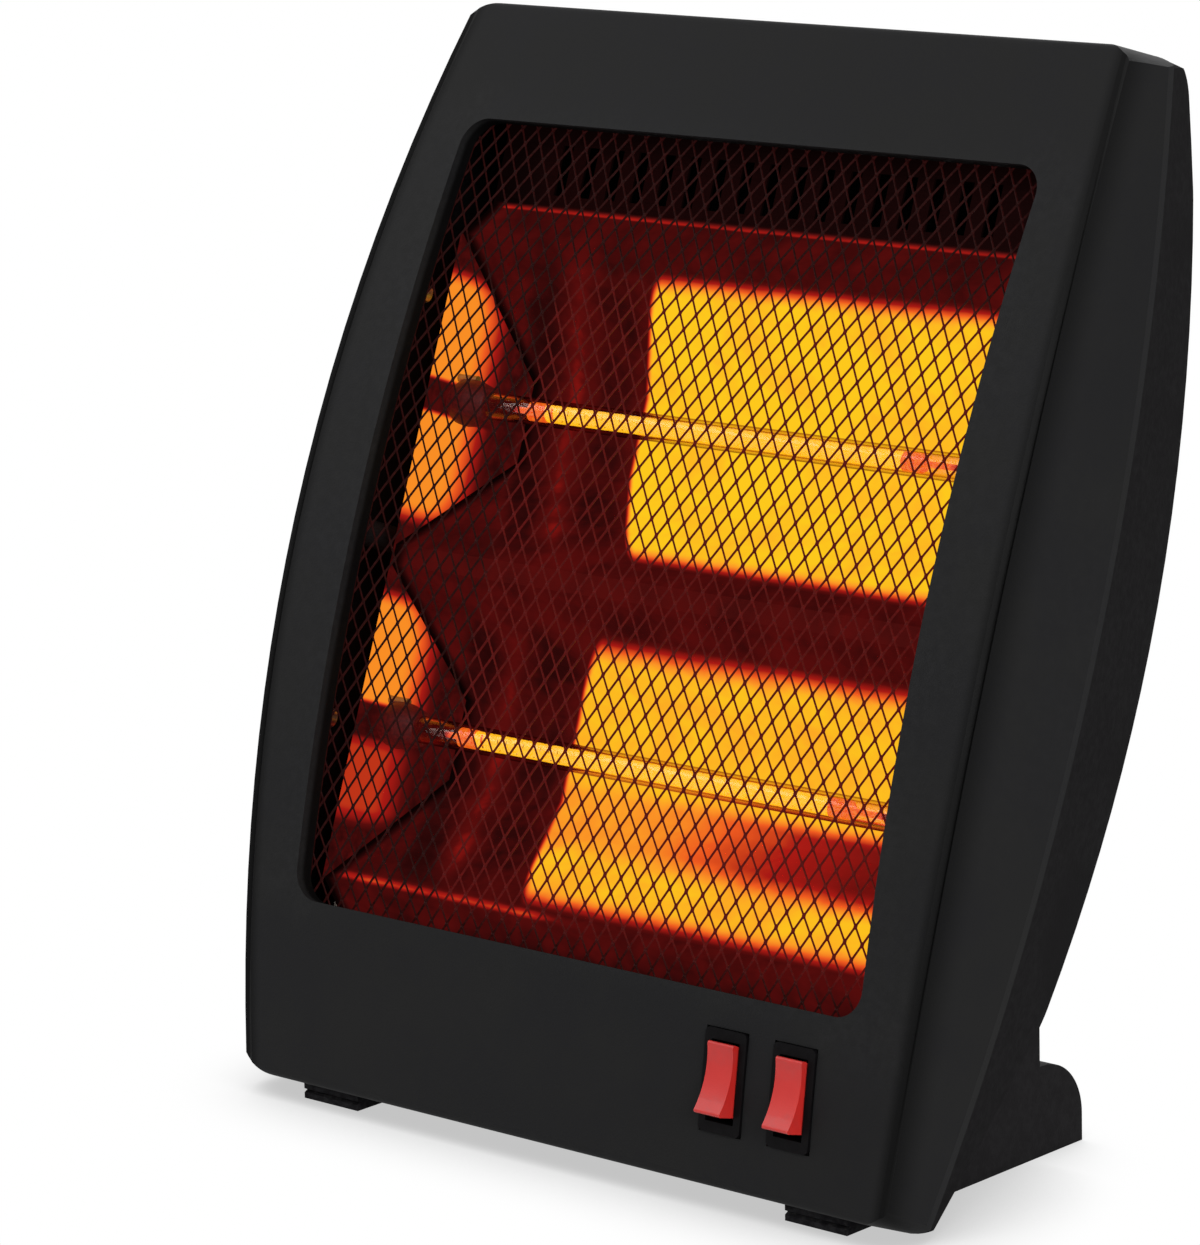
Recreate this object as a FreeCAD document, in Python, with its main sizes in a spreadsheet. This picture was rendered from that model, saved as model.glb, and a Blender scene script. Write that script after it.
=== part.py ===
"""Carbon heater with two quartz lamps in a leaning body, in millimetres.

Body pieces are drawn upright, X to the right, Y into the body and Z up the face, and then leaned back
together.
Legs are drawn as they stand on the floor.
"""
import FreeCAD, Part
import math
import os
import Sketcher
from FreeCAD import Placement, Rotation, Vector

SIZES = {
    # body
    "body_height": 321.5,
    "lean_angle": 20.5,
    "body_lift": 7.0,
    "front_edge_y": -67.8,
    "wall": 2.5,
    "seam_half": 124.2,
    "seam_bow": 15.1,
    "seam_depth": 12.9,
    "seam_inset": 0.5,
    "rim_height": 2.5,
    "ridge_half": 116.7,
    "ridge_bow": 9.6,
    "groove_width": 2.6,
    "groove_depth": 1.5,
    "groove_depth_end": 0.4,
    "groove_lip": 0.3,
    "face_bulge": 19.5,
    "corner_radius": 13.0,
    "rear_corner_radius": 9.0,
    "hollow_corner_radius": 20.0,
    "slant_ease": 3.0,
    "edge_round": 3.0,
    "outline_ease": 0.3,
    # window and guard
    "window_half": 105.0,
    "window_low": 52.0,
    "window_high": 285.0,
    "window_round": 8.5,
    "lip_wall": 2.0,
    "lip_depth": 6.0,
    "guard_gap": 0.2,
    "guard_thickness": 1.0,
    "guard_border": 7.0,
    "guard_pitch": 15.0,
    "guard_rows_pitch": 11.4,
    "guard_strand": 2.0,
    "guard_screw_low": 105.0,
    "guard_screw_high": 232.0,
    # rear shell
    "rear_taper_angle": 18.5,
    "rear_limit": 72.0,
    "sole_depth": 15.5,
    "sole_round": 6.0,
    "belly_depth": 48.0,
    "belly_height": 63.0,
    "belly_round": 22.0,
    "back_bulge": 14.0,
    "shoulder_depth": 40.0,
    "shoulder_height": 290.0,
    "shoulder_round": 24.0,
    "crown_depth": 27.0,
    "crown_round": 11.0,
    "vent_width": 4.0,
    "vent_length": 26.0,
    "vent_pitch": 9.5,
    "vent_low": 104.0,
    "vent_high": 240.0,
    "vent_start_depth": 36.0,
    # screws
    "case_screw_x": 118.0,
    "case_screw_top_x": 114.0,
    "case_screw_low": 28.0,
    "case_screw_high": 297.0,
    "boss_radius": 4.0,
    "column_radius": 5.0,
    "well_radius": 3.6,
    "well_floor": 3.0,
    "head_radius": 3.0,
    "head_height": 2.2,
    "shank_radius": 1.5,
    "shank_reach": 5.0,
    "screw_fit": 0.2,
    "pilot_spare": 1.0,
    "small_head_radius": 2.4,
    "small_shank_radius": 1.2,
    # reflector and lamps
    "sheet": 0.8,
    "plate_x": 103.0,
    "lower_lamp": 107.25,
    "lamp_pitch": 96.5,
    "lamp_depth": 10.0,
    "trough_front": -2.0,
    "trough_floor": 42.0,
    "trough_half": 47.75,
    "trough_floor_half": 12.0,
    "ridge_land": 6.0,
    "panel_depth": 8.0,
    "panel_start": 262.5,
    "panel_top": 302.0,
    "lower_lip_end": 50.0,
    "tab_half": 8.0,
    "tab_end": 33.0,
    "tab_left_x": -93.0,
    "tab_right_x": 38.0,
    "tab_screw": 38.0,
    "panel_screw_x": 90.0,
    "panel_screw": 297.0,
    "slot_width": 4.0,
    "slot_low": 267.0,
    "slot_length": 15.0,
    "slot_pitch": 9.8,
    "plate_rear_half": 62.0,
    "tube_radius": 4.0,
    "tube_bore": 3.1,
    "tube_fit": 0.15,
    "tube_seat": 7.5,
    "tube_spare": 0.5,
    "coil_radius": 2.3,
    "coil_wire": 0.5,
    "coil_half": 66.0,
    "coil_lead": 1.2,
    "coil_run_in": 2.6,
    "plug_radius": 2.8,
    "plug_length": 6.0,
    "rod_radius": 0.9,
    "rod_end": 110.0,
    "rod_hole": 1.5,
    "holder_length": 14.0,
    "holder_half_depth": 7.0,
    "holder_half_height": 10.0,
    "holder_round": 4.0,
    "holder_screw": 7.0,
    "holder_screw_reach": 7.0,
    "tag_x": 105.5,
    "tag_sheet": 1.0,
    "tag_radius": 3.2,
    "tag_hole": 1.05,
    "crimp_radius": 1.5,
    "crimp_drop": 10.0,
    # switches
    "switch_left_x": 61.1,
    "switch_right_x": 85.0,
    "switch_height": 28.4,
    "seat_recess": 1.0,
    "seat_fit": 0.2,
    "bezel_half_width": 7.25,
    "bezel_half_height": 14.25,
    "bezel_proud": 0.6,
    "bezel_round": 1.6,
    "case_half_width": 6.0,
    "case_half_height": 12.5,
    "case_depth": 18.0,
    "rocker_gap_half_width": 4.9,
    "rocker_gap_half_height": 11.2,
    "rocker_gap_depth": 10.0,
    "pivot_depth": 2.0,
    "pin_radius": 1.2,
    "pin_fit": 0.05,
    "pin_half": 5.6,
    "rocker_half_width": 4.5,
    "rocker_half_height": 10.0,
    "rocker_front": 7.0,
    "rocker_hollow": 2.2,
    "rocker_base": 0.5,
    "rocker_base_half": 9.3,
    "rocker_keel": 4.0,
    "rocker_keel_half": 3.0,
    "rocker_round": 0.7,
    "rocker_on_angle": 11.0,
    "blade_half_width": 2.4,
    "blade_sheet": 0.8,
    "blade_length": 8.0,
    "blade_offset": 6.0,
    # supply
    "block_left": -60.0,
    "block_right": -20.0,
    "block_front": 4.0,
    "block_back": 15.0,
    "block_low": 18.0,
    "block_high": 32.0,
    "block_hole": 1.7,
    "wire_radius": 1.0,
    "wire_lane_depth": 20.0,
    "wire_bend": 5.0,
    "gland_x": -70.0,
    "gland_height": 82.0,
    "gland_pad_radius": 11.0,
    "gland_pad_depth": 62.0,
    "gland_radius": 6.0,
    "gland_fit": 0.1,
    "gland_bore": 3.6,
    "gland_flange_radius": 9.0,
    "gland_flange": 2.5,
    "gland_barrel": 9.0,
    # tilt cut-out
    "tilt_left": -10.0,
    "tilt_right": 12.0,
    "tilt_front": 4.0,
    "tilt_back": 18.0,
    "tilt_low": 14.0,
    "tilt_high": 34.0,
    "tilt_wall": 1.5,
    "tilt_ear": 10.0,
    "tilt_ear_half": 5.0,
    "tilt_pin_depth": 11.5,
    "tilt_pin_height": 30.0,
    "tilt_pin_radius": 1.0,
    "tilt_arm": 8.5,
    "tilt_bob_radius": 3.0,
    "tilt_bob_half": 4.0,
    # legs
    "leg_inner_x": 80.1,
    "leg_width": 21.5,
    "leg_wall": 2.5,
    "leg_gap": 0.1,
    "toe_back": 6.1,
    "toe_length": 7.0,
    "toe_groove": 1.2,
    "heel_back": 110.4,
    "heel_top": 26.0,
    "heel_round": 18.0,
    "post_back": 91.2,
    "post_top": 44.0,
    "leg_boss_length": 9.0,
}
COIL_TURNS = 40
VENT_COUNT = 19
SLOT_COUNT = 17
LEG_SCREW_SHARES = (0.48, 0.76)

doc = FreeCAD.newDocument("carbon_heater")
sheet = doc.addObject("Spreadsheet::Sheet", "sizes")
for row, (alias, value) in enumerate(SIZES.items(), start=1):
    sheet.set(f"A{row}", str(value))
    sheet.setAlias(f"A{row}", alias)
doc.recompute()


class Size:
    """A size with its present value and the sheet expression that gives it."""

    def __init__(self, value, text):
        self.value = value
        self.text = text

    def __add__(self, other):
        other = as_size(other)
        return Size(self.value + other.value, f"({self.text} + {other.text})")

    def __sub__(self, other):
        other = as_size(other)
        return Size(self.value - other.value, f"({self.text} - {other.text})")

    def __mul__(self, other):
        other = as_size(other)
        return Size(self.value * other.value, f"({self.text} * {other.text})")

    def __truediv__(self, other):
        other = as_size(other)
        return Size(self.value / other.value, f"({self.text} / {other.text})")

    def __rsub__(self, other):
        return as_size(other) - self

    def __neg__(self):
        return Size(-self.value, f"(0 - {self.text})")

    __radd__ = __add__
    __rmul__ = __mul__


def as_size(value):
    """Wrap a plain number, so that it can stand beside a size."""
    return value if isinstance(value, Size) else Size(float(value), repr(float(value)))


def size(alias):
    """A size straight from the sheet."""
    return Size(SIZES[alias], f"sizes.{alias}")


def cos_of(angle):
    return Size(math.cos(math.radians(angle.value)), f"cos({angle.text})")


def sin_of(angle):
    return Size(math.sin(math.radians(angle.value)), f"sin({angle.text})")


def tan_of(angle):
    return Size(math.tan(math.radians(angle.value)), f"tan({angle.text})")


def angle_of(slope):
    """Angle in degrees whose tangent is slope."""
    return Size(math.degrees(math.atan(slope.value)), f"(atan({slope.text}) / 1deg)")


def span_of(across, along):
    """Length of the diagonal of two sizes."""
    total = across * across + along * along
    return Size(math.sqrt(total.value), f"sqrt({total.text})")


# Helpers that make document objects

X_WAY = Vector(1, 0, 0)
Y_WAY = Vector(0, 1, 0)
TURNS = {
    "X": Rotation(Vector(0, 1, 0), 90),
    "Y": Rotation(Vector(1, 0, 0), -90),
    "Z": Rotation(),
}
PLANES = {
    "XY": Rotation(),
    "XZ": Rotation(Vector(1, 0, 0), 90),
    "YZ": Rotation(Vector(1, 1, 1), 120),
}
PLANE_OFFSET = {"XY": "z", "XZ": "y", "YZ": "x"}


def bind(item, prop, amount):
    """Tie a property to the sheet."""
    item.setExpression(prop, as_size(amount).text)


def put(item, x, y, z):
    """Tie the position of an object to the sheet."""
    for axis, amount in zip("xyz", (x, y, z)):
        bind(item, f"Placement.Base.{axis}", amount)


def box(name, low, high):
    """Box between two corners."""
    item = doc.addObject("Part::Box", name)
    for prop, start, end in zip(("Length", "Width", "Height"), low, high):
        bind(item, prop, end - start)
    put(item, *low)
    return item


def rod(name, way, radius, start, length):
    """Round bar from a start point along X, Y or Z."""
    item = doc.addObject("Part::Cylinder", name)
    item.Placement = Placement(Vector(), TURNS[way])
    bind(item, "Radius", radius)
    bind(item, "Height", length)
    put(item, *start)
    return item


def tilted(item, frame, x, y, z):
    """Place an object at a point of a frame (x, depth, height, tilt about X)."""
    middle_x, middle_y, middle_z, tilt = frame
    item.Placement = Placement(Vector(), Rotation(X_WAY, 1))
    bind(item, "Placement.Rotation.Angle", tilt)
    put(
        item,
        middle_x + x,
        middle_y + y * cos_of(tilt) - z * sin_of(tilt),
        middle_z + y * sin_of(tilt) + z * cos_of(tilt),
    )
    return item


def tilted_box(name, frame, low, high):
    """Box between two corners given in a tilted frame."""
    return tilted(box(name, low, high), frame, *low)


def tilted_rod(name, frame, radius, low, high):
    """Round bar along the tilted Z of a frame, through its middle."""
    zero = as_size(0)
    item = rod(name, "Z", radius, (zero, zero, zero), high - low)
    return tilted(item, frame, zero, zero, low)


def fuse(name, *shapes):
    item = doc.addObject("Part::MultiFuse", name)
    item.Shapes = list(shapes)
    return item


def common(name, *shapes):
    item = doc.addObject("Part::MultiCommon", name)
    item.Shapes = list(shapes)
    return item


def cut(name, base, *tools):
    item = doc.addObject("Part::Cut", name)
    item.Base = base
    item.Tool = tools[0] if len(tools) == 1 else fuse(f"{name}_tools", *tools)
    return item


def group(name, *shapes):
    """Separate solids that share one node."""
    item = doc.addObject("Part::Compound", name)
    item.Links = list(shapes)
    return item


def sketch(name, plane, points, offset, bows=None):
    """Closed outline on a plane; bows gives how far an edge bulges to the right of its way."""
    item = doc.addObject("Sketcher::SketchObject", name)
    item.Placement = Placement(Vector(), PLANES[plane])
    bind(item, f"Placement.Base.{PLANE_OFFSET[plane]}", offset)
    bows = bows or {}
    count = len(points)
    heads = []
    tails = []
    for index in range(count):
        start = points[index]
        end = points[(index + 1) % count]
        first = Vector(start[0].value, start[1].value, 0)
        last = Vector(end[0].value, end[1].value, 0)
        bulge = bows.get(index)
        if bulge is None:
            item.addGeometry(Part.LineSegment(first, last))
        else:
            way = (last - first).normalize()
            middle = (first + last) * 0.5 + Vector(way.y, -way.x, 0) * bulge.value
            item.addGeometry(Part.Arc(first, middle, last))
        outward = bulge is None or bulge.value > 0
        heads.append(1 if outward else 2)
        tails.append(2 if outward else 1)
    for index in range(count):
        after = (index + 1) % count
        item.addConstraint(Sketcher.Constraint("Coincident", index, tails[index], after, heads[after]))
    for index, point in enumerate(points):
        for kind, axis, amount in (("DistanceX", -2, point[0]), ("DistanceY", -1, point[1])):
            if amount.value == 0:
                item.addConstraint(Sketcher.Constraint("PointOnObject", index, heads[index], axis))
                continue
            place = Sketcher.Constraint(kind, -1, 1, index, heads[index], amount.value)
            bind(item, f"Constraints[{item.addConstraint(place)}]", amount)
    for index, bulge in bows.items():
        start = points[index]
        end = points[(index + 1) % count]
        chord = span_of(end[0] - start[0], end[1] - start[1])
        depth = bulge if bulge.value > 0 else -bulge
        radius = chord * chord / (depth * 8) + depth / 2
        place = Sketcher.Constraint("Radius", index, radius.value)
        bind(item, f"Constraints[{item.addConstraint(place)}]", radius)
    return item


def prism(name, outline, way, length):
    """Solid swept from an outline along a way."""
    item = doc.addObject("Part::Extrusion", name)
    item.Base = outline
    item.DirMode = "Custom"
    item.Dir = way
    item.Solid = True
    bind(item, "LengthFwd", length)
    return item


def rounded(name, base, way, corners):
    """Round the edges of a prism along a way; corners holds (first, second, radius) across it."""
    doc.recompute()
    main = max("xyz", key=lambda axis: abs(getattr(way, axis)))
    axes = [axis for axis in "xyz" if axis != main]
    rounds = []
    for number, edge in enumerate(base.Shape.Edges, start=1):
        ends = sorted((vertex.Point for vertex in edge.Vertexes), key=lambda point: getattr(point, main))
        if len(ends) != 2 or (ends[1] - ends[0]).cross(way).Length > 1e-5:
            continue
        for first, second, radius in corners:
            across = getattr(ends[0], axes[0]) - first.value
            along = getattr(ends[0], axes[1]) - second.value
            if math.hypot(across, along) < 1e-3:
                rounds.append((number, radius.value, radius.value))
    item = doc.addObject("Part::Fillet", name)
    item.Base = base
    item.Edges = rounds
    return item


def inset(name, outline, amount):
    """Outline drawn inside another, at an even distance."""
    item = doc.addObject("Part::Offset2D", name)
    item.Source = outline
    item.Join = 2
    bind(item, "Value", -amount)
    return item


def loft(name, *sections):
    """Smooth solid through level sections."""
    item = doc.addObject("Part::Loft", name)
    item.Sections = list(sections)
    item.Solid = True
    item.Ruled = False
    return item


def both_sides(right):
    """Outline from its right half, given from back to front."""
    return right + [(-x, y) for x, y in reversed(right)]


def solid(name, shape):
    """Object whose shape is worked out here."""
    item = doc.addObject("Part::Feature", name)
    item.Shape = shape
    return item


# Sizes used all through the body

ZERO = as_size(0)
height = size("body_height")
half_height = height / 2
lean = size("lean_angle")
wall = size("wall")
bulge = size("face_bulge")
seam = size("seam_depth")
rear_limit = size("rear_limit")
plate_x = size("plate_x")
sheet_metal = size("sheet")
lamp_depth = size("lamp_depth")
lower_lamp = size("lower_lamp")
upper_lamp = lower_lamp + size("lamp_pitch")
guard_front = size("lip_depth") + size("guard_gap")
guard_back = guard_front + size("guard_thickness")
shank = size("shank_radius")
pilot = shank + size("screw_fit")
beyond = wall * 2


def fullness(level):
    """How full the body is at a level: 0 at both ends and 1 half way up."""
    share = (level - half_height) / half_height
    return 1 - share * share


def face_at(level):
    """Depth of the front face at a level."""
    return -(bulge * fullness(level))


def body_y(depth, level):
    """Where a point of the upright body comes to stand, front to back."""
    return size("front_edge_y") + depth * cos_of(lean) + level * sin_of(lean)


def body_z(depth, level):
    """Where a point of the upright body comes to stand, above the floor."""
    return size("body_lift") - depth * sin_of(lean) + level * cos_of(lean)


NODES = {}


def node(label, item):
    """Name a finished sub-part after its file."""
    item.Label = label
    NODES[label] = item
    return item


def lean_back(item, x=ZERO, depth=ZERO, level=ZERO, tilt=ZERO):
    """Set a finished sub-part into the leaning body, turned by tilt about X first."""
    item.Placement = Placement(Vector(), Rotation(X_WAY, -1))
    bind(item, "Placement.Rotation.Angle", tilt - lean)
    put(item, x, body_y(depth, level), body_z(depth, level))
    return item


def level_sections(name, outline_at):
    """Sections at the foot, half way up and at the top; outline_at takes how full the body is there."""
    levels = ((ZERO, 0), (half_height, 1), (height, 0))
    return [
        sketch(f"{name}_{index}", "XY", both_sides(outline_at(full)), level)
        for index, (level, full) in enumerate(levels)
    ]


# Outer forms of the body

def front_outline(full):
    """Right half of a section of the front form."""
    edge = size("seam_half") + size("seam_bow") * full
    ridge = size("ridge_half") + size("ridge_bow") * full
    face = -(bulge * full)
    groove = size("groove_depth_end") + (size("groove_depth") - size("groove_depth_end")) * full
    return [
        (edge, seam),
        (edge, seam - size("rim_height")),
        (ridge + size("groove_width"), face + size("groove_lip")),
        (ridge + size("groove_width") / 2, face + groove),
        (ridge, face),
    ]


def front_hollow_outline(full):
    """Right half of a section of the hollow in the front form."""
    edge = size("seam_half") + size("seam_bow") * full - wall
    ridge = size("ridge_half") + size("ridge_bow") * full - wall / 2
    return [
        (edge, seam + wall),
        (edge, seam - size("rim_height") + wall),
        (ridge, wall - bulge * full),
    ]


taper = tan_of(size("rear_taper_angle"))
side_wall = wall / cos_of(size("rear_taper_angle"))


def rear_outline(full):
    """Right half of a section of the rear form."""
    edge = size("seam_half") + size("seam_bow") * full - size("seam_inset")
    return [(edge - taper * (rear_limit - seam), rear_limit), (edge, seam)]


def rear_hollow_outline(full):
    """Right half of a section of the hollow in the rear form."""
    edge = size("seam_half") + size("seam_bow") * full - size("seam_inset") - side_wall
    return [(edge - taper * (rear_limit - seam), rear_limit), (edge + taper * wall, seam - wall)]


def outline_prism(name, margin, ease, radius):
    """Upright prism with bowed sides and round corners, which trims the body seen from the front."""
    side = size("seam_half") - margin + ease
    corners = [(-side, margin), (side, margin), (side, height - margin), (-side, height - margin)]
    start = -(bulge * 2)
    plan = sketch(f"{name}_plan", "XZ", corners, start, {1: size("seam_bow"), 3: size("seam_bow")})
    bar = prism(f"{name}_bar", plan, Y_WAY, rear_limit - start + wall)
    return rounded(name, bar, Y_WAY, [(x, z, radius) for x, z in corners])


def slanted_trim(name, side):
    """Slanted bar whose round corners follow one side of the front form from the ridge back to the seam."""
    slant = (size("seam_half") - size("ridge_half")) / seam
    start = -(bulge * 2)
    edge = size("ridge_half") + size("slant_ease") + slant * start
    far = half_width * 2
    left, right = (-far, edge) if side > 0 else (-edge, far)
    corners = [(left, ZERO), (right, ZERO), (right, height), (left, height)]
    bowed = 1 if side > 0 else 3
    bow = size("seam_bow") + size("slant_ease") + slant * bulge
    plan = sketch(f"{name}_plan", "XZ", corners, start, {bowed: bow})
    bar = prism(f"{name}_bar", plan, Vector(slant.value * side, 1, 0), (rear_limit - start + wall) * 2)
    bind(bar, "Dir.x", slant * side)
    radius = size("corner_radius")
    return rounded(name, bar, bar.Dir, [(edge * side, level, radius) for level in (ZERO, height)])


half_width = size("seam_half") + size("seam_bow") + wall
outline = outline_prism("outline", ZERO, size("outline_ease"), size("rear_corner_radius"))
hollow_outline = outline_prism("hollow_outline", wall, wall / 2, size("rear_corner_radius") - wall)
front_hollow_trim = outline_prism("front_hollow_trim", wall, wall / 2, size("hollow_corner_radius"))

profile_points = [
    (ZERO, ZERO),
    (rear_limit, ZERO),
    (rear_limit, height),
    (ZERO, height),
    (-(bulge * 2), half_height),
]
front_profile_plan = sketch("front_profile_plan", "YZ", profile_points, -half_width)
front_profile_bar = prism("front_profile_bar", front_profile_plan, X_WAY, half_width * 2)
front_profile = rounded(
    "front_profile",
    front_profile_bar,
    X_WAY,
    [(ZERO, ZERO, size("edge_round")), (ZERO, height, size("edge_round"))],
)
front_form = common(
    "front_form",
    loft("front_loft", *level_sections("front_level", front_outline)),
    slanted_trim("right_trim", 1),
    slanted_trim("left_trim", -1),
    front_profile,
)
front_hollow = common(
    "front_hollow",
    loft("front_hollow_loft", *level_sections("front_hollow_level", front_hollow_outline)),
    front_hollow_trim,
)

rear_points = [
    (-(wall * 4), ZERO),
    (size("sole_depth"), ZERO),
    (size("belly_depth"), size("belly_height")),
    (size("shoulder_depth"), size("shoulder_height")),
    (size("crown_depth"), height),
    (-(wall * 4), height),
]
rear_rounds = ("sole_round", "belly_round", "shoulder_round", "crown_round")
rear_plan = sketch("rear_plan", "YZ", rear_points, -half_width, {2: size("back_bulge")})
rear_bar = prism("rear_bar", rear_plan, X_WAY, half_width * 2)
rear_profile = rounded(
    "rear_profile",
    rear_bar,
    X_WAY,
    [(*point, size(alias)) for point, alias in zip(rear_points[1:5], rear_rounds)],
)
rear_hollow_bar = prism("rear_hollow_bar", inset("rear_hollow_plan", rear_plan, wall), X_WAY, half_width * 2)
rear_form = common(
    "rear_form",
    loft("rear_loft", *level_sections("rear_level", rear_outline)),
    rear_profile,
    outline,
)
rear_hollow = common(
    "rear_hollow",
    loft("rear_hollow_loft", *level_sections("rear_hollow_level", rear_hollow_outline)),
    rear_hollow_bar,
    hollow_outline,
)

# Places of screws and switches, (x, level)

case_screw_places = [
    (x * side, level)
    for side in (-1, 1)
    for x, level in (
        (size("case_screw_x"), size("case_screw_low")),
        (size("case_screw_x"), half_height),
        (size("case_screw_top_x"), size("case_screw_high")),
    )
]
guard_screw_x = size("window_half") + size("lip_wall") + size("boss_radius") / 2
guard_screw_places = [
    (guard_screw_x * side, level)
    for side in (-1, 1)
    for level in (size("guard_screw_low"), size("guard_screw_high"))
]
reflector_screw_places = [
    (-size("panel_screw_x"), size("panel_screw")),
    (size("panel_screw_x"), size("panel_screw")),
    (size("tab_left_x"), size("tab_screw")),
    (size("tab_right_x"), size("tab_screw")),
]
block_x = (size("block_left") + size("block_right")) / 2
block_level = (size("block_low") + size("block_high")) / 2
tilt_ear_x = size("tilt_right") + size("tilt_ear") / 2
tilt_level = (size("tilt_low") + size("tilt_high")) / 2
switch_level = size("switch_height")
switch_slope = bulge * 2 * (half_height - switch_level) / (half_height * half_height)
switch_tilt = angle_of(switch_slope)
switch_frames = [
    (size(alias), face_at(switch_level), switch_level, switch_tilt)
    for alias in ("switch_left_x", "switch_right_x")
]


# Front housing

def window_bar(name, margin):
    """Upright bar with round corners through the window, larger by a margin."""
    side = size("window_half") + margin
    low = size("window_low") - margin
    high = size("window_high") + margin
    corners = [(-side, low), (side, low), (side, high), (-side, high)]
    start = -(bulge * 2)
    plan = sketch(f"{name}_plan", "XZ", corners, start)
    bar = prism(f"{name}_bar", plan, Y_WAY, bulge * 2 + seam + beyond)
    return rounded(name, bar, Y_WAY, [(x, z, size("window_round") + margin) for x, z in corners])


def curved_slab(name, side, front, back):
    """Slab that follows the face between two depths behind it."""
    def outline_at(full):
        face = -(bulge * full)
        return [(side, face + back), (side, face + front)]
    return loft(name, *level_sections(f"{name}_level", outline_at))


def front_boss(name, place, radius, end):
    """Post from within the face wall back to a depth."""
    x, level = place
    start = face_at(level) + wall / 2
    return rod(name, "Y", radius, (x, start, level), end - start)


def pilot_hole(name, place, end, reach, radius):
    """Blind hole from the end of a post toward the face."""
    x, level = place
    return rod(name, "Y", radius, (x, end - reach, level), reach + wall)


def make_front_housing():
    """Bulged frame with a window lip, posts for every screw and two switch seats."""
    shell = cut("front_shell", front_form, front_hollow)
    lip = common(
        "window_lip",
        window_bar("lip_bar", size("lip_wall")),
        curved_slab("lip_slab", size("window_half") + beyond, wall / 2, size("lip_depth")),
    )
    adds = [shell, lip]
    holes = [window_bar("window", ZERO)]
    reach = size("shank_reach") + size("pilot_spare")
    radius = size("boss_radius")
    for index, place in enumerate(case_screw_places):
        adds.append(front_boss(f"case_post_{index}", place, radius, seam))
        holes.append(pilot_hole(f"case_pilot_{index}", place, seam, reach, pilot))
    for index, place in enumerate(guard_screw_places):
        end = face_at(place[1]) + size("lip_depth")
        adds.append(front_boss(f"guard_post_{index}", place, radius * 0.75, end))
        holes.append(pilot_hole(f"guard_pilot_{index}", place, end, guard_depth, guard_pilot))
    for index, place in enumerate(reflector_screw_places):
        end = size("panel_depth")
        adds.append(front_boss(f"reflector_post_{index}", place, radius, end))
        holes.append(pilot_hole(f"reflector_pilot_{index}", place, end, reach, pilot))
    for name, place, end in (
        ("block_post", (block_x, block_level), size("block_front")),
        ("tilt_post", (tilt_ear_x, tilt_level), size("tilt_front")),
    ):
        adds.append(front_boss(name, place, radius, end))
        holes.append(pilot_hole(f"{name}_pilot", place, end, reach, pilot))
    fit = size("seat_fit")
    for index, frame in enumerate(switch_frames):
        side = size("bezel_half_width") + fit
        tall = size("bezel_half_height") + fit
        seat = ((-side, -beyond, -tall), (side, size("seat_recess"), tall))
        holes.append(tilted_box(f"switch_seat_{index}", frame, *seat))
        side = size("case_half_width") + fit
        tall = size("case_half_height") + fit
        gap = ((-side, -beyond, -tall), (side, size("case_depth"), tall))
        holes.append(tilted_box(f"switch_gap_{index}", frame, *gap))
    body = cut("front_body", fuse("front_solid", *adds), *holes)
    return node("front_housing", lean_back(body))


guard_pilot = size("small_shank_radius") + size("screw_fit")
guard_depth = size("lip_depth") - wall
make_front_housing()


# Rear housing

belly_tilt = angle_of(size("belly_height") / (size("belly_depth") - size("sole_depth")))
leg_middle_x = size("leg_inner_x") + (size("leg_width") - size("leg_wall")) / 2


def belly_frame(side, share):
    """Frame on the flat belly of the rear shell, its Z pointing into the shell."""
    depth = size("sole_depth") + (size("belly_depth") - size("sole_depth")) * share
    return (leg_middle_x * side, depth, size("belly_height") * share, belly_tilt)


leg_screw_frames = [belly_frame(side, share) for side in (-1, 1) for share in LEG_SCREW_SHARES]


def vent_row(name, low):
    """Row of upright slots through the back."""
    half = size("vent_width") / 2
    bars = []
    for index in range(VENT_COUNT):
        x = size("vent_pitch") * (index - (VENT_COUNT - 1) / 2)
        corner = (x - half, size("vent_start_depth"), low)
        far = (x + half, rear_limit + wall, low + size("vent_length"))
        bars.append(box(f"{name}_{index}", corner, far))
    return group(name, *bars)


def make_rear_housing():
    """Tapered shell with screw columns, vent rows, a pad for the gland and posts for the legs."""
    columns = []
    holes = []
    for index, (x, level) in enumerate(case_screw_places):
        start = (x, seam, level)
        columns.append(rod(f"column_{index}", "Y", size("column_radius"), start, rear_limit - seam))
        well = (x, seam + size("well_floor"), level)
        holes.append(rod(f"well_{index}", "Y", size("well_radius"), well, rear_limit))
        hole = (x, seam - wall, level)
        holes.append(rod(f"column_hole_{index}", "Y", pilot, hole, wall * 2 + size("well_floor")))
    inner = common("columns", fuse("column_bars", *columns), rear_form)
    adds = [cut("rear_shell", rear_form, rear_hollow), inner]
    gland = (size("gland_x"), size("belly_depth"), size("gland_height"))
    pad_length = size("gland_pad_depth") - size("belly_depth")
    adds.append(rod("gland_pad", "Y", size("gland_pad_radius"), gland, pad_length))
    gland_hole = size("gland_radius") + size("gland_fit")
    holes.append(rod("gland_hole", "Y", gland_hole, (gland[0], seam, gland[2]), rear_limit))
    for index, frame in enumerate(leg_screw_frames):
        end = size("leg_boss_length")
        adds.append(tilted_rod(f"leg_post_{index}", frame, size("boss_radius"), wall / 2, end))
        holes.append(tilted_rod(f"leg_pilot_{index}", frame, pilot, -wall, end - size("pilot_spare")))
    vents = [vent_row("vents_low", size("vent_low")), vent_row("vents_high", size("vent_high"))]
    solid_body = cut("rear_drilled", fuse("rear_solid", *adds), *holes)
    body = cut("rear_vented", cut("rear_body", solid_body, vents[0]), vents[1])
    return node("rear_housing", lean_back(body))


make_rear_housing()


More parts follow.
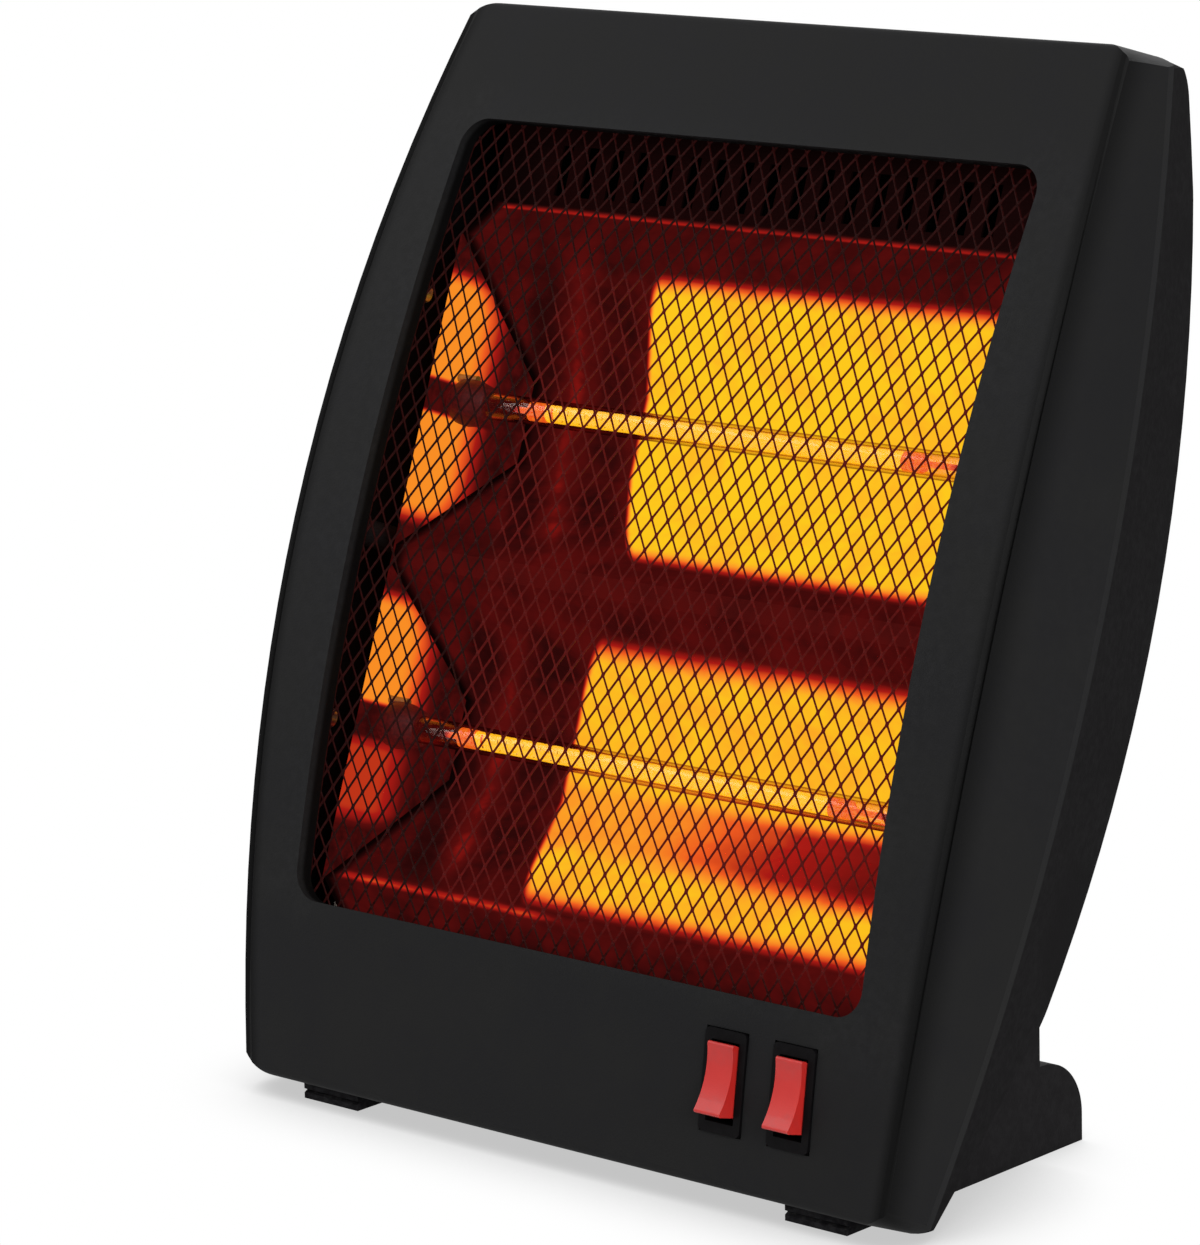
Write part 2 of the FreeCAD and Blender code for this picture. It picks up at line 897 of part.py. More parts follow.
# Guard grille

def diamond(x, level, across, along):
    """Upright diamond drawn in front of the face."""
    depth = -(bulge.value * 2)
    corners = [
        Vector(x - across, depth, level),
        Vector(x, depth, level - along),
        Vector(x + across, depth, level),
        Vector(x, depth, level + along),
    ]
    return Part.makePolygon(corners + corners[:1])


def make_grille():
    """Curved sheet with staggered upright diamonds and a plain border."""
    pitch = size("guard_pitch").value
    rows_pitch = size("guard_rows_pitch").value
    strand = size("guard_strand").value
    across = pitch / 2 - strand / 2
    along = across * rows_pitch * 2 / pitch
    side = (size("window_half") + size("guard_border")).value
    low = (size("window_low") - size("guard_border")).value
    high = (size("window_high") + size("guard_border")).value
    open_side = size("window_half").value
    open_low = size("window_low").value
    open_high = size("window_high").value
    depth = -(bulge.value * 2)
    border = [
        Vector(-side, depth, low),
        Vector(side, depth, low),
        Vector(side, depth, high),
        Vector(-side, depth, high),
    ]
    wires = [Part.makePolygon(border + border[:1])]
    rows = int((open_high - open_low - along * 2) / rows_pitch) + 1
    start = (open_low + open_high - (rows - 1) * rows_pitch) / 2
    for row in range(rows):
        columns = int((open_side * 2 - across * 2) / pitch) + (row + 1) % 2
        first = -(columns - 1) * pitch / 2
        for column in range(columns):
            wires.append(diamond(first + column * pitch, start + row * rows_pitch, across, along))
    for place in guard_screw_places:
        middle = Vector(place[0].value, depth, place[1].value)
        ring = Part.makeCircle(guard_pilot.value, middle, Y_WAY)
        wires.append(Part.Wire(ring))
    sweep = Y_WAY * (bulge.value * 2 + seam.value + beyond.value)
    net = Part.makeFace(wires, "Part::FaceMakerBullseye").extrude(sweep)
    slab_side = size("window_half") + size("guard_border") + beyond
    slab = curved_slab("guard_slab", slab_side, guard_front, guard_back)
    body = common("grille_body", slab, solid("guard_net", net))
    return node("guard_grille", lean_back(body))


make_grille()


# Reflector and its end plates

def make_reflector():
    """One bent sheet: slotted panel, two troughs, a lower lip and two tabs."""
    front = size("trough_front")
    floor = size("trough_floor")
    outer = size("trough_half")
    inner = (size("lamp_pitch") - size("ridge_land")) / 2
    flat = size("trough_floor_half")
    panel = size("panel_depth")
    bends = [
        (panel, size("panel_top")),
        (panel, size("panel_start")),
        (front, upper_lamp + outer),
        (floor, upper_lamp + flat),
        (floor, upper_lamp - flat),
        (front, upper_lamp - inner),
        (front, lower_lamp + inner),
        (floor, lower_lamp + flat),
        (floor, lower_lamp - flat),
        (front, lower_lamp - outer),
        (panel, size("lower_lip_end")),
    ]
    points = bends + [(depth + sheet_metal, level) for depth, level in reversed(bends)]
    bar = prism("reflector_bar", sketch("reflector_plan", "YZ", points, -plate_x), X_WAY, plate_x * 2)
    adds = [bar]
    holes = []
    for index, alias in enumerate(("tab_left_x", "tab_right_x")):
        low = (size(alias) - size("tab_half"), panel, size("tab_end"))
        high = (size(alias) + size("tab_half"), panel + sheet_metal, size("lower_lip_end"))
        adds.append(box(f"tab_{index}", low, high))
    for index, (x, level) in enumerate(reflector_screw_places):
        start = (x, panel - wall, level)
        holes.append(rod(f"reflector_hole_{index}", "Y", pilot, start, wall * 2))
    half = size("slot_width") / 2
    for index in range(SLOT_COUNT):
        x = size("slot_pitch") * (index - (SLOT_COUNT - 1) / 2)
        low = (x - half, panel - wall, size("slot_low"))
        high = (x + half, panel + wall, size("slot_low") + size("slot_length"))
        holes.append(box(f"slot_{index}", low, high))
    body = cut("reflector_body", fuse("reflector_solid", *adds), group("reflector_holes", *holes))
    return node("reflector", lean_back(body))


def make_end_plate(label, side):
    """Plate that closes both troughs, drilled for the lead rods and the holder screws."""
    front = size("trough_front")
    rear = size("trough_floor") + sheet_metal
    middle = (upper_lamp + lower_lamp) / 2
    half = size("lamp_pitch") / 2 + size("trough_half")
    points = [
        (front, middle - half),
        (rear, middle - size("plate_rear_half")),
        (rear, middle + size("plate_rear_half")),
        (front, middle + half),
    ]
    start = plate_x if side > 0 else -(plate_x + sheet_metal)
    bar = prism(f"{label}_bar", sketch(f"{label}_plan", "YZ", points, start), X_WAY, sheet_metal)
    holes = []
    for index, lamp in enumerate((lower_lamp, upper_lamp)):
        at = (start - wall, lamp_depth, lamp)
        holes.append(rod(f"{label}_rod_hole_{index}", "X", size("rod_hole"), at, wall * 2))
        at = (start - wall, lamp_depth, lamp + size("holder_screw"))
        holes.append(rod(f"{label}_screw_hole_{index}", "X", guard_pilot, at, wall * 2))
    return node(label, lean_back(cut(f"{label}_body", bar, *holes)))


make_reflector()
make_end_plate("left_end_plate", -1)
make_end_plate("right_end_plate", 1)


# Lamps

holder_inner = plate_x - size("holder_length")
tube_half = holder_inner + size("tube_seat")
plug_start = size("coil_half")


def make_tube(label, lamp):
    """Quartz tube between two holders."""
    start = (-tube_half, lamp_depth, lamp)
    outer = rod(f"{label}_outer", "X", size("tube_radius"), start, tube_half * 2)
    inner = rod(f"{label}_inner", "X", size("tube_bore"), start, tube_half * 2)
    return node(label, lean_back(cut(f"{label}_body", outer, inner)))


def arc_pair(first, first_way, last, last_way):
    """Two arcs that leave one point and reach the next in the given ways."""
    gap = last - first
    total = first_way + last_way
    spread = 2 * (1 - first_way.dot(last_way))
    reach = (math.sqrt(gap.dot(total) ** 2 + spread * gap.dot(gap)) - gap.dot(total)) / spread
    joint = (first + first_way * reach + last - last_way * reach) * 0.5
    edges = []
    for start, way, end in ((first, first_way, joint), (last, last_way * -1, joint)):
        chord = end - start
        lift = way - chord * (way.dot(chord) / chord.dot(chord))
        turn = math.acos(max(-1, min(1, way.dot(chord) / chord.Length)))
        middle = start + chord * 0.5 + lift.normalize() * (chord.Length / 2 * math.tan(turn / 2))
        ends = (start, end) if start is first else (end, start)
        edges.append(Part.Arc(ends[0], middle, ends[1]).toShape())
    return edges


def helix_point(turn, start, pitch, radius):
    """Point and way of a helix along X after a number of turns."""
    angle = 2 * math.pi * turn
    point = Vector(start + pitch * turn, radius * math.cos(angle), radius * math.sin(angle))
    way = Vector(
        pitch / (2 * math.pi),
        -radius * math.sin(angle),
        radius * math.cos(angle),
    )
    return point, way.normalize()


def coil_tube(half, radius, wire):
    """Wound coil along X with straight leads at both ends, as one unbroken tube."""
    lead = size("coil_lead").value
    run_in = size("coil_run_in").value
    start = -half + lead + run_in
    pitch = -2 * start / COIL_TURNS
    stations = [helix_point(index / 2, start, pitch, radius) for index in range(2 * COIL_TURNS + 1)]
    entry = Vector(-half + lead, 0, -radius)
    leave = Vector(half - lead, 0, radius)
    path = [Part.makeLine(Vector(-half, 0, -radius), entry)]
    knots = [(entry, X_WAY)] + stations + [(leave, X_WAY)]
    for (first, first_way), (last, last_way) in zip(knots, knots[1:]):
        path.extend(arc_pair(first, first_way, last, last_way))
    path.append(Part.makeLine(leave, Vector(half, 0, radius)))
    sweep = Part.BRepOffsetAPI.MakePipeShell(Part.Wire(path))
    sweep.add(Part.Wire(Part.makeCircle(wire, Vector(-half, 0, -radius), X_WAY)))
    sweep.build()
    sweep.makeSolid()
    print(f"coil gap to itself {pitch - 2 * wire:.2f}")
    return sweep.shape()


def make_coil(label, lamp):
    """Heating coil inside a tube."""
    half = size("coil_half").value
    shape = coil_tube(half, size("coil_radius").value, size("coil_wire").value)
    item = solid(f"{label}_body", shape)
    return node(label, lean_back(item, ZERO, lamp_depth, lamp))


def make_plug(name, lamp, side):
    """Plug at the end of a coil with a lead rod out through the holder."""
    middle = (lamp_depth, lamp)
    start = plug_start if side > 0 else -(plug_start + size("plug_length"))
    plug = rod(f"{name}_plug", "X", size("plug_radius"), (start, *middle), size("plug_length"))
    length = size("rod_end") - plug_start
    start = plug_start if side > 0 else -size("rod_end")
    lead = rod(f"{name}_rod", "X", size("rod_radius"), (start, *middle), length)
    return fuse(name, plug, lead)


def make_holder(label, lamp, side):
    """Ceramic block with a seat for the tube and holes for the lead rod and the screw."""
    start = holder_inner if side > 0 else -plate_x
    end = start + size("holder_length")
    deep = size("holder_half_depth")
    tall = size("holder_half_height")
    low = (start, lamp_depth - deep, lamp - tall)
    high = (end, lamp_depth + deep, lamp + tall)
    block = box(f"{label}_block", low, high)
    corners = [
        (lamp_depth + deep * y, lamp + tall * z, size("holder_round")) for y in (-1, 1) for z in (-1, 1)
    ]
    block = rounded(f"{label}_round", block, X_WAY, corners)
    seat = size("tube_seat") + size("tube_spare")
    seat_start = start - wall if side > 0 else end - seat
    hole_start = (start - wall, lamp_depth, lamp)
    reach = size("holder_screw_reach") + size("pilot_spare")
    screw_start = end - reach if side > 0 else start - wall
    screw_length = reach + wall
    seat_radius = size("tube_radius") + size("tube_fit")
    body = cut(
        f"{label}_body",
        block,
        rod(f"{label}_seat", "X", seat_radius, (seat_start, lamp_depth, lamp), seat + wall),
        rod(f"{label}_hole", "X", size("rod_hole"), hole_start, size("holder_length") + wall * 2),
        rod(
            f"{label}_pilot",
            "X",
            guard_pilot,
            (screw_start, lamp_depth, lamp + size("holder_screw")),
            screw_length,
        ),
    )
    return node(label, lean_back(body))


def make_holder_screw(name, lamp, side):
    """Short screw through the end plate into a holder."""
    level = lamp + size("holder_screw")
    outer = plate_x + sheet_metal
    head_start = outer if side > 0 else -(outer + size("head_height"))
    head = rod(
        f"{name}_head", "X", size("small_head_radius"), (head_start, lamp_depth, level), size("head_height")
    )
    length = sheet_metal + size("holder_screw_reach")
    start = outer - length if side > 0 else -outer
    bar = rod(f"{name}_bar", "X", size("small_shank_radius"), (start, lamp_depth, level), length)
    return fuse(name, head, bar)


def make_tag(name, lamp, side):
    """Ring tag on a lead rod with a crimp barrel below it."""
    start = size("tag_x") if side > 0 else -(size("tag_x") + size("tag_sheet"))
    ring = rod(f"{name}_ring", "X", size("tag_radius"), (start, lamp_depth, lamp), size("tag_sheet"))
    middle = start + size("tag_sheet") / 2
    drop = size("crimp_drop")
    reach = drop - size("tag_radius") + size("tag_sheet")
    barrel = rod(f"{name}_barrel", "Z", size("crimp_radius"), (middle, lamp_depth, lamp - drop), reach)
    hole = rod(f"{name}_hole", "X", size("tag_hole"), (start - wall, lamp_depth, lamp), wall * 2)
    return cut(name, fuse(f"{name}_solid", ring, barrel), hole)


LAMPS = (("upper", upper_lamp), ("lower", lower_lamp))
SIDES = (("left", -1), ("right", 1))
plugs = []
holder_screws = []
tags = []
for lamp_name, lamp_level in LAMPS:
    make_tube(f"{lamp_name}_quartz_tube", lamp_level)
    make_coil(f"{lamp_name}_heating_coil", lamp_level)
    for side_name, lamp_side in SIDES:
        ending = f"{lamp_name}_{side_name}"
        make_holder(f"{ending}_lamp_holder", lamp_level, lamp_side)
        plugs.append(make_plug(f"plug_{ending}", lamp_level, lamp_side))
        holder_screws.append(make_holder_screw(f"holder_screw_{ending}", lamp_level, lamp_side))
        tags.append(make_tag(f"tag_{ending}", lamp_level, lamp_side))
node("coil_end_plugs", lean_back(group("plugs", *plugs)))
node("holder_screws", lean_back(group("holder_screw_group", *holder_screws)))
node("lamp_tags", lean_back(group("tags", *tags)))


# Screws driven from behind toward the face

def back_screw(name, place, seat, reach, head_radius, bar_radius):
    """Screw whose head rests on a seat and whose shank reaches toward the face."""
    x, level = place
    head = rod(f"{name}_head", "Y", head_radius, (x, seat, level), size("head_height"))
    bar = rod(f"{name}_bar", "Y", bar_radius, (x, seat - reach, level), reach)
    return fuse(name, head, bar)


def make_back_screws():
    """Groups of the screws that hold the case, the guard, the reflector, the block and the tilt cut-out."""
    head = size("head_radius")
    reach = size("shank_reach")
    seat = seam + size("well_floor")
    case = [
        back_screw(f"case_screw_{index}", place, seat, reach + size("well_floor"), head, shank)
        for index, place in enumerate(case_screw_places)
    ]
    node("case_screws", lean_back(group("case_screw_group", *case)))
    small = size("small_shank_radius")
    guard = []
    for index, place in enumerate(guard_screw_places):
        slope = bulge * 2 * (half_height - place[1]) / (half_height * half_height)
        lift = head * Size(abs(slope.value), f"abs({slope.text})")
        rest = face_at(place[1]) + guard_back + lift
        guard.append(back_screw(f"guard_screw_{index}", place, rest, guard_reach, head, small))
    node("guard_screws", lean_back(group("guard_screw_group", *guard)))
    seat = size("panel_depth") + sheet_metal
    sheet_screws = [
        back_screw(f"reflector_screw_{index}", place, seat, reach, head, shank)
        for index, place in enumerate(reflector_screw_places)
    ]
    node("reflector_screws", lean_back(group("reflector_screw_group", *sheet_screws)))
    block_reach = size("block_back") - size("block_front") + reach
    block = back_screw("block_fixing", (block_x, block_level), size("block_back"), block_reach, head, shank)
    ear_back = size("tilt_front") + size("tilt_wall")
    ear_reach = size("tilt_wall") + reach
    ear = back_screw("tilt_fixing", (tilt_ear_x, tilt_level), ear_back, ear_reach, head, shank)
    node("block_screw", lean_back(block))
    node("tilt_screw", lean_back(ear))


guard_reach = size("guard_thickness") + guard_depth
make_back_screws()


# Switches

def make_switch_case(label, frame):
    """Snap-in case with a bezel, a gap for the rocker and bearings for its pins."""
    side = size("bezel_half_width")
    tall = size("bezel_half_height")
    back = size("seat_recess")
    bezel = box(f"{label}_bezel", (-side, -size("bezel_proud"), -tall), (side, back, tall))
    corners = [(side * x, tall * z, size("bezel_round")) for x in (-1, 1) for z in (-1, 1)]
    bezel = rounded(f"{label}_bezel_round", bezel, Y_WAY, corners)
    side = size("case_half_width")
    tall = size("case_half_height")
    case = box(f"{label}_case", (-side, ZERO, -tall), (side, size("case_depth"), tall))
    side = size("rocker_gap_half_width")
    tall = size("rocker_gap_half_height")
    gap = box(f"{label}_gap", (-side, -beyond, -tall), (side, size("rocker_gap_depth"), tall))
    bearing = size("pin_half") + size("seat_fit")
    start = (-bearing, size("pivot_depth"), ZERO)
    bore = rod(f"{label}_bore", "X", size("pin_radius") + size("pin_fit"), start, bearing * 2)
    body = cut(f"{label}_body", fuse(f"{label}_solid", bezel, case), gap, bore)
    return node(label, lean_back(body, *frame))


def make_rocker(label, frame):
    """Hollowed rocker with two pins, drawn level about its pivot and set with the upper end pressed in."""
    front = -size("rocker_front")
    tall = size("rocker_half_height")
    base = size("rocker_base")
    base_half = size("rocker_base_half")
    keel = size("rocker_keel")
    keel_half = size("rocker_keel_half")
    points = [
        (front, tall),
        (front, -tall),
        (base, -base_half),
        (keel, -keel_half),
        (keel, keel_half),
        (base, base_half),
    ]
    side = size("rocker_half_width")
    plan = sketch(f"{label}_plan", "YZ", points, -side, {0: -size("rocker_hollow")})
    bar = prism(f"{label}_bar", plan, X_WAY, side * 2)
    ends = [(front, tall, size("rocker_round")), (front, -tall, size("rocker_round"))]
    bar = rounded(f"{label}_round", bar, X_WAY, ends)
    pin = size("pin_half")
    pins = rod(f"{label}_pins", "X", size("pin_radius"), (-pin, ZERO, ZERO), pin * 2)
    x, depth, level, tilt = frame
    pivot = size("pivot_depth")
    body = fuse(f"{label}_body", bar, pins)
    depth = depth + pivot * cos_of(tilt)
    level = level + pivot * sin_of(tilt)
    PLACES[label] = (x, depth, level)
    return node(label, lean_back(body, x, depth, level, tilt - size("rocker_on_angle")))


def blade_tip(frame, offset, beyond_tip):
    """Point behind a spade blade, in the upright body."""
    x, depth, level, tilt = frame
    y = (size("case_depth") + size("blade_length") + beyond_tip).value
    z = offset.value
    turn = math.radians(tilt.value)
    return Vector(
        x.value,
        depth.value + y * math.cos(turn) - z * math.sin(turn),
        level.value + y * math.sin(turn) + z * math.cos(turn),
    )


def make_blades():
    """Two spade blades behind each switch."""
    half = size("blade_half_width")
    thin = size("blade_sheet") / 2
    start = size("case_depth")
    blades = []
    for index, frame in enumerate(switch_frames):
        for side in (-1, 1):
            level = size("blade_offset") * side
            low = (-half, start, level - thin)
            high = (half, start + size("blade_length"), level + thin)
            blades.append(tilted_box(f"blade_{index}_{'low' if side < 0 else 'high'}", frame, low, high))
    return node("switch_blades", lean_back(group("blades", *blades)))


PLACES = {}
for side_name, switch_frame in zip(("left", "right"), switch_frames):
    make_switch_case(f"{side_name}_switch_case", switch_frame)
    make_rocker(f"{side_name}_rocker", switch_frame)
make_blades()


# Supply: terminal block, gland and wiring

def make_block():
    """Terminal block on its post."""
    low = (size("block_left"), size("block_front"), size("block_low"))
    high = (size("block_right"), size("block_back"), size("block_high"))
    start = (block_x, size("block_front") - wall, block_level)
    length = size("block_back") - size("block_front") + wall * 2
    hole = rod("block_hole", "Y", size("block_hole"), start, length)
    return node("terminal_block", lean_back(cut("block_body", box("block", low, high), hole)))


def make_gland():
    """Bush where the supply enters, seated on its pad."""
    x = size("gland_x")
    level = size("gland_height")
    seat = size("gland_pad_depth")
    flange = rod("gland_flange", "Y", size("gland_flange_radius"), (x, seat, level), size("gland_flange"))
    barrel_start = (x, seat - size("gland_barrel"), level)
    barrel = rod("gland_barrel", "Y", size("gland_radius"), barrel_start, size("gland_barrel"))
    start = (x, seat - size("gland_barrel") - wall, level)
    bore_length = size("gland_barrel") + size("gland_flange") + wall * 2
    bore = rod("gland_bore", "Y", size("gland_bore"), start, bore_length)
    return node("cord_gland", lean_back(cut("gland_body", fuse("gland_solid", flange, barrel), bore)))


def wire_tube(points):
    """Round wire along straight runs with even bends between them."""
    radius = size("wire_radius").value
    edges = []
    here = points[0]
    for index in range(1, len(points) - 1):
        corner = points[index]
        back = (points[index - 1] - corner).normalize()
        ahead = (points[index + 1] - corner).normalize()
        half_turn = math.acos(max(-1, min(1, -back.dot(ahead)))) / 2
        room = min((points[index - 1] - corner).Length, (points[index + 1] - corner).Length) * 0.45
        reach = min(room, size("wire_bend").value * math.tan(half_turn))
        first = corner + back * reach
        last = corner + ahead * reach
        bend = reach / math.tan(half_turn)
        inward = (back + ahead).normalize()
        middle = corner + inward * (bend / math.cos(half_turn) - bend)
        edges.append(Part.makeLine(here, first))
        edges.append(Part.Arc(first, middle, last).toShape())
        here = last
    edges.append(Part.makeLine(here, points[-1]))
    sweep = Part.BRepOffsetAPI.MakePipeShell(Part.Wire(edges))
    way = (points[1] - points[0]).normalize()
    sweep.add(Part.Wire(Part.makeCircle(radius, points[0], way)))
    sweep.build()
    sweep.makeSolid()
    return sweep.shape()


def make_wires():
    """Wires from the block to the left tags and switches, and from the switches to the right tags."""
    side = (size("tag_x") + size("tag_sheet") / 2).value
    depth = lamp_depth.value
    lane = size("wire_lane_depth").value
    step = size("trough_floor_half").value
    low_tag = (lower_lamp - size("crimp_drop")).value
    high_tag = (upper_lamp - size("crimp_drop")).value
    block_left = size("block_left").value
    block_right = size("block_right").value
    low_lane = size("block_low").value + wall.value
    high_lane = size("block_high").value - wall.value
    front_lane = size("block_front").value + beyond.value
    back_lane = size("block_back").value - wall.value
    lamp_wires = [
        [
            Vector(-side, depth, low_tag),
            Vector(-side, depth, low_tag - step * 2),
            Vector(-side, front_lane, low_tag - step * 4),
            Vector(-side, front_lane, low_lane),
            Vector(block_left, front_lane, low_lane),
        ],
        [
            Vector(-side, depth, high_tag),
            Vector(-side, depth, high_tag - step * 2),
            Vector(-side, lane, high_tag - step * 4),
            Vector(-side, lane, high_lane + step * 3),
            Vector(-side, back_lane, high_lane + step * 1.5),
            Vector(-side, back_lane, high_lane),
            Vector(block_left, back_lane, high_lane),
        ],
    ]
    offset = size("blade_offset")
    tip = blade_tip(switch_frames[1], offset, ZERO)
    out = blade_tip(switch_frames[1], offset, size("blade_sheet") * 4)
    lamp_wires.append(
        [
            Vector(side, depth, low_tag),
            Vector(side, depth, low_tag - step),
            Vector(side, out.y, low_tag - step * 3),
            Vector(side, out.y, out.z),
            Vector(out.x, out.y, out.z),
            tip,
        ]
    )
    tip = blade_tip(switch_frames[0], offset, ZERO)
    out = blade_tip(switch_frames[0], offset, size("blade_length"))
    lamp_wires.append(
        [
            Vector(side, depth, high_tag),
            Vector(side, depth, high_tag - step * 2),
            Vector(side, out.y, high_tag - step * 4),
            Vector(side, out.y, out.z),
            Vector(out.x, out.y, out.z),
            tip,
        ]
    )
    tubes = [solid(f"lamp_wire_{index}", wire_tube(points)) for index, points in enumerate(lamp_wires)]
    node("lamp_wires", lean_back(group("lamp_wire_group", *tubes)))
    shift = Vector(size("blade_half_width").value / 2, 0, 0)
    tips = [blade_tip(frame, -offset, ZERO) for frame in switch_frames]
    outs = [blade_tip(frame, -offset, size("blade_sheet") * 3) for frame in switch_frames]
    supply_wires = [
        [
            Vector(block_right, front_lane, (low_lane + high_lane) / 2),
            Vector(block_right + step / 2, front_lane, (low_lane + high_lane) / 2),
            Vector(block_right + step / 2, outs[0].y, outs[0].z),
            outs[0] - shift,
            tips[0] - shift,
        ],
        [tips[0] + shift, outs[0] + shift, outs[1], tips[1]],
    ]
    tubes = [solid(f"supply_wire_{index}", wire_tube(points)) for index, points in enumerate(supply_wires)]
    node("supply_wires", lean_back(group("supply_wire_group", *tubes)))


make_block()
make_gland()
make_wires()


# Tilt cut-out

def make_tilt_switch():
    """Open case on a post, with a weight that hangs from a pin."""
    low = (size("tilt_left"), size("tilt_front"), size("tilt_low"))
    high = (size("tilt_right"), size("tilt_back"), size("tilt_high"))
    thin = size("tilt_wall")
    inner_low = tuple(edge + thin for edge in low)
    inner_high = (high[0] - thin, high[1] + wall, high[2] - thin)
    ear_low = (high[0], low[1], tilt_level - size("tilt_ear_half"))
    ear_high = (high[0] + size("tilt_ear"), low[1] + thin, tilt_level + size("tilt_ear_half"))
    pin = size("tilt_pin_radius")
    depth = size("tilt_pin_depth")
    level = size("tilt_pin_height")
    ear_hole = rod("tilt_ear_hole", "Y", pilot, (tilt_ear_x, low[1] - wall, tilt_level), wall * 2)
    bore_start = (low[0] - wall, depth, level)
    bore = rod("tilt_bore", "X", pin + size("pin_fit"), bore_start, high[0] - low[0] + wall * 2)
    body = cut(
        "tilt_case_body",
        fuse("tilt_solid", box("tilt_box", low, high), box("tilt_ear_box", ear_low, ear_high)),
        box("tilt_room", inner_low, inner_high),
        ear_hole,
        bore,
    )
    node("tilt_case", lean_back(body))
    x = (low[0] + high[0]) / 2
    pin_half = (high[0] - low[0]) / 2
    bob_half = size("tilt_bob_half")
    arm = size("tilt_arm")
    axle = rod("tilt_axle", "X", pin, (-pin_half, ZERO, ZERO), pin_half * 2)
    strap = box("tilt_strap", (-(thin), -pin, -arm), (thin, pin, ZERO))
    bob = rod("tilt_bob", "X", size("tilt_bob_radius"), (-bob_half, ZERO, -arm), bob_half * 2)
    PLACES["tilt_pendulum"] = (x, depth, level)
    return node("tilt_pendulum", lean_back(fuse("tilt_weight", axle, strap, bob), x, depth, level, lean))


make_tilt_switch()


# Legs

front_edge = size("front_edge_y")
toe_y = front_edge + size("toe_back")
heel_y = front_edge + size("heel_back")
post_y = front_edge + size("post_back")


def belly_point(level_above_floor):
    """Front to back place on the belly, a gap outside it, at a level above the floor."""
    low_y = body_y(size("sole_depth"), ZERO)
    low_z = body_z(size("sole_depth"), ZERO)
    high_y = body_y(size("belly_depth"), size("belly_height"))
    high_z = body_z(size("belly_depth"), size("belly_height"))
    share = (level_above_floor - low_z) / (high_z - low_z)
    slant = span_of(high_y - low_y, high_z - low_z) / (high_z - low_z)
    return low_y + (high_y - low_y) * share + size("leg_gap") * slant


def sole_point(y):
    """Height of the foot of the body, a gap below it, at a place front to back."""
    slope = tan_of(lean)
    return size("body_lift") - (y - size("front_edge_y")) * slope - size("leg_gap") / cos_of(lean)


def make_leg(label, side):
    """Hollow leg, open toward the middle, with a rounded heel and a post behind the belly."""
    start_y = toe_y + size("toe_length")
    corner_z = body_z(size("sole_depth"), ZERO) - size("leg_gap")
    points = [
        (start_y, ZERO),
        (heel_y, ZERO),
        (heel_y, size("heel_top")),
        (post_y, size("heel_top")),
        (post_y, size("post_top")),
        (belly_point(size("post_top")), size("post_top")),
        (belly_point(corner_z), corner_z),
        (start_y, sole_point(start_y)),
    ]
    inner = size("leg_inner_x")
    width = size("leg_width")
    start = inner if side > 0 else -(inner + width)
    plan = sketch(f"{label}_plan", "YZ", points, start)
    bar = prism(f"{label}_bar", plan, X_WAY, width)
    rounds = [(heel_y, size("heel_top"), size("heel_round"))]
    bar = rounded(f"{label}_round", bar, X_WAY, rounds)
    leg_wall = size("leg_wall")
    hollow = prism(f"{label}_hollow", inset(f"{label}_inner_plan", plan, leg_wall), X_WAY, width - leg_wall)
    hollow = rounded(
        f"{label}_hollow_round",
        hollow,
        X_WAY,
        [(heel_y - leg_wall, size("heel_top") - leg_wall, size("heel_round") - leg_wall)],
    )
    if side < 0:
        bind(hollow, "Placement.Base.x", leg_wall)
    holes = [hollow]
    for index, share in enumerate(LEG_SCREW_SHARES):
        x, depth, level, tilt = belly_frame(side, share)
        frame = (x, body_y(depth, level), body_z(depth, level), tilt - lean)
        reach = leg_wall + size("leg_gap") + wall
        holes.append(tilted_rod(f"{label}_hole_{index}", frame, pilot, -reach, wall))
    return node(label, cut(f"{label}_body", bar, *holes))


def make_leg_screws():
    """Screws from inside the legs up into the belly."""
    screws = []
    for index, (x, depth, level, tilt) in enumerate(leg_screw_frames):
        seat = -(size("leg_wall") + size("leg_gap"))
        frame = (x, depth, level, tilt)
        end = size("leg_boss_length") - size("pilot_spare") * 2
        head = tilted_rod(f"leg_head_{index}", frame, size("head_radius"), seat - size("head_height"), seat)
        bar = tilted_rod(f"leg_bar_{index}", frame, shank, seat, end)
        screws.append(fuse(f"leg_screw_{index}", head, bar))
    node("leg_screws", lean_back(group("leg_screw_group", *screws)))


def make_toe(label, side):
    """Grooved end of a leg, under the front edge."""
    front = toe_y
    back = front + size("toe_length")
    groove = size("toe_groove")
    top = sole_point(front)
    points = [
        (front, ZERO),
        (back, ZERO),
        (back, sole_point(back)),
        (front, top),
        (front, top / 2 + groove / 2),
        (front + groove, top / 2),
        (front, top / 2 - groove / 2),
    ]
    inner = size("leg_inner_x")
    start = inner if side > 0 else -(inner + size("leg_width"))
    plan = sketch(f"{label}_plan", "YZ", points, start)
    return node(label, prism(f"{label}_bar", plan, X_WAY, size("leg_width")))


make_leg("left_leg", -1)
make_leg("right_leg", 1)
make_leg_screws()
make_toe("left_toe_pad", -1)
make_toe("right_toe_pad", 1)


# Checks and files

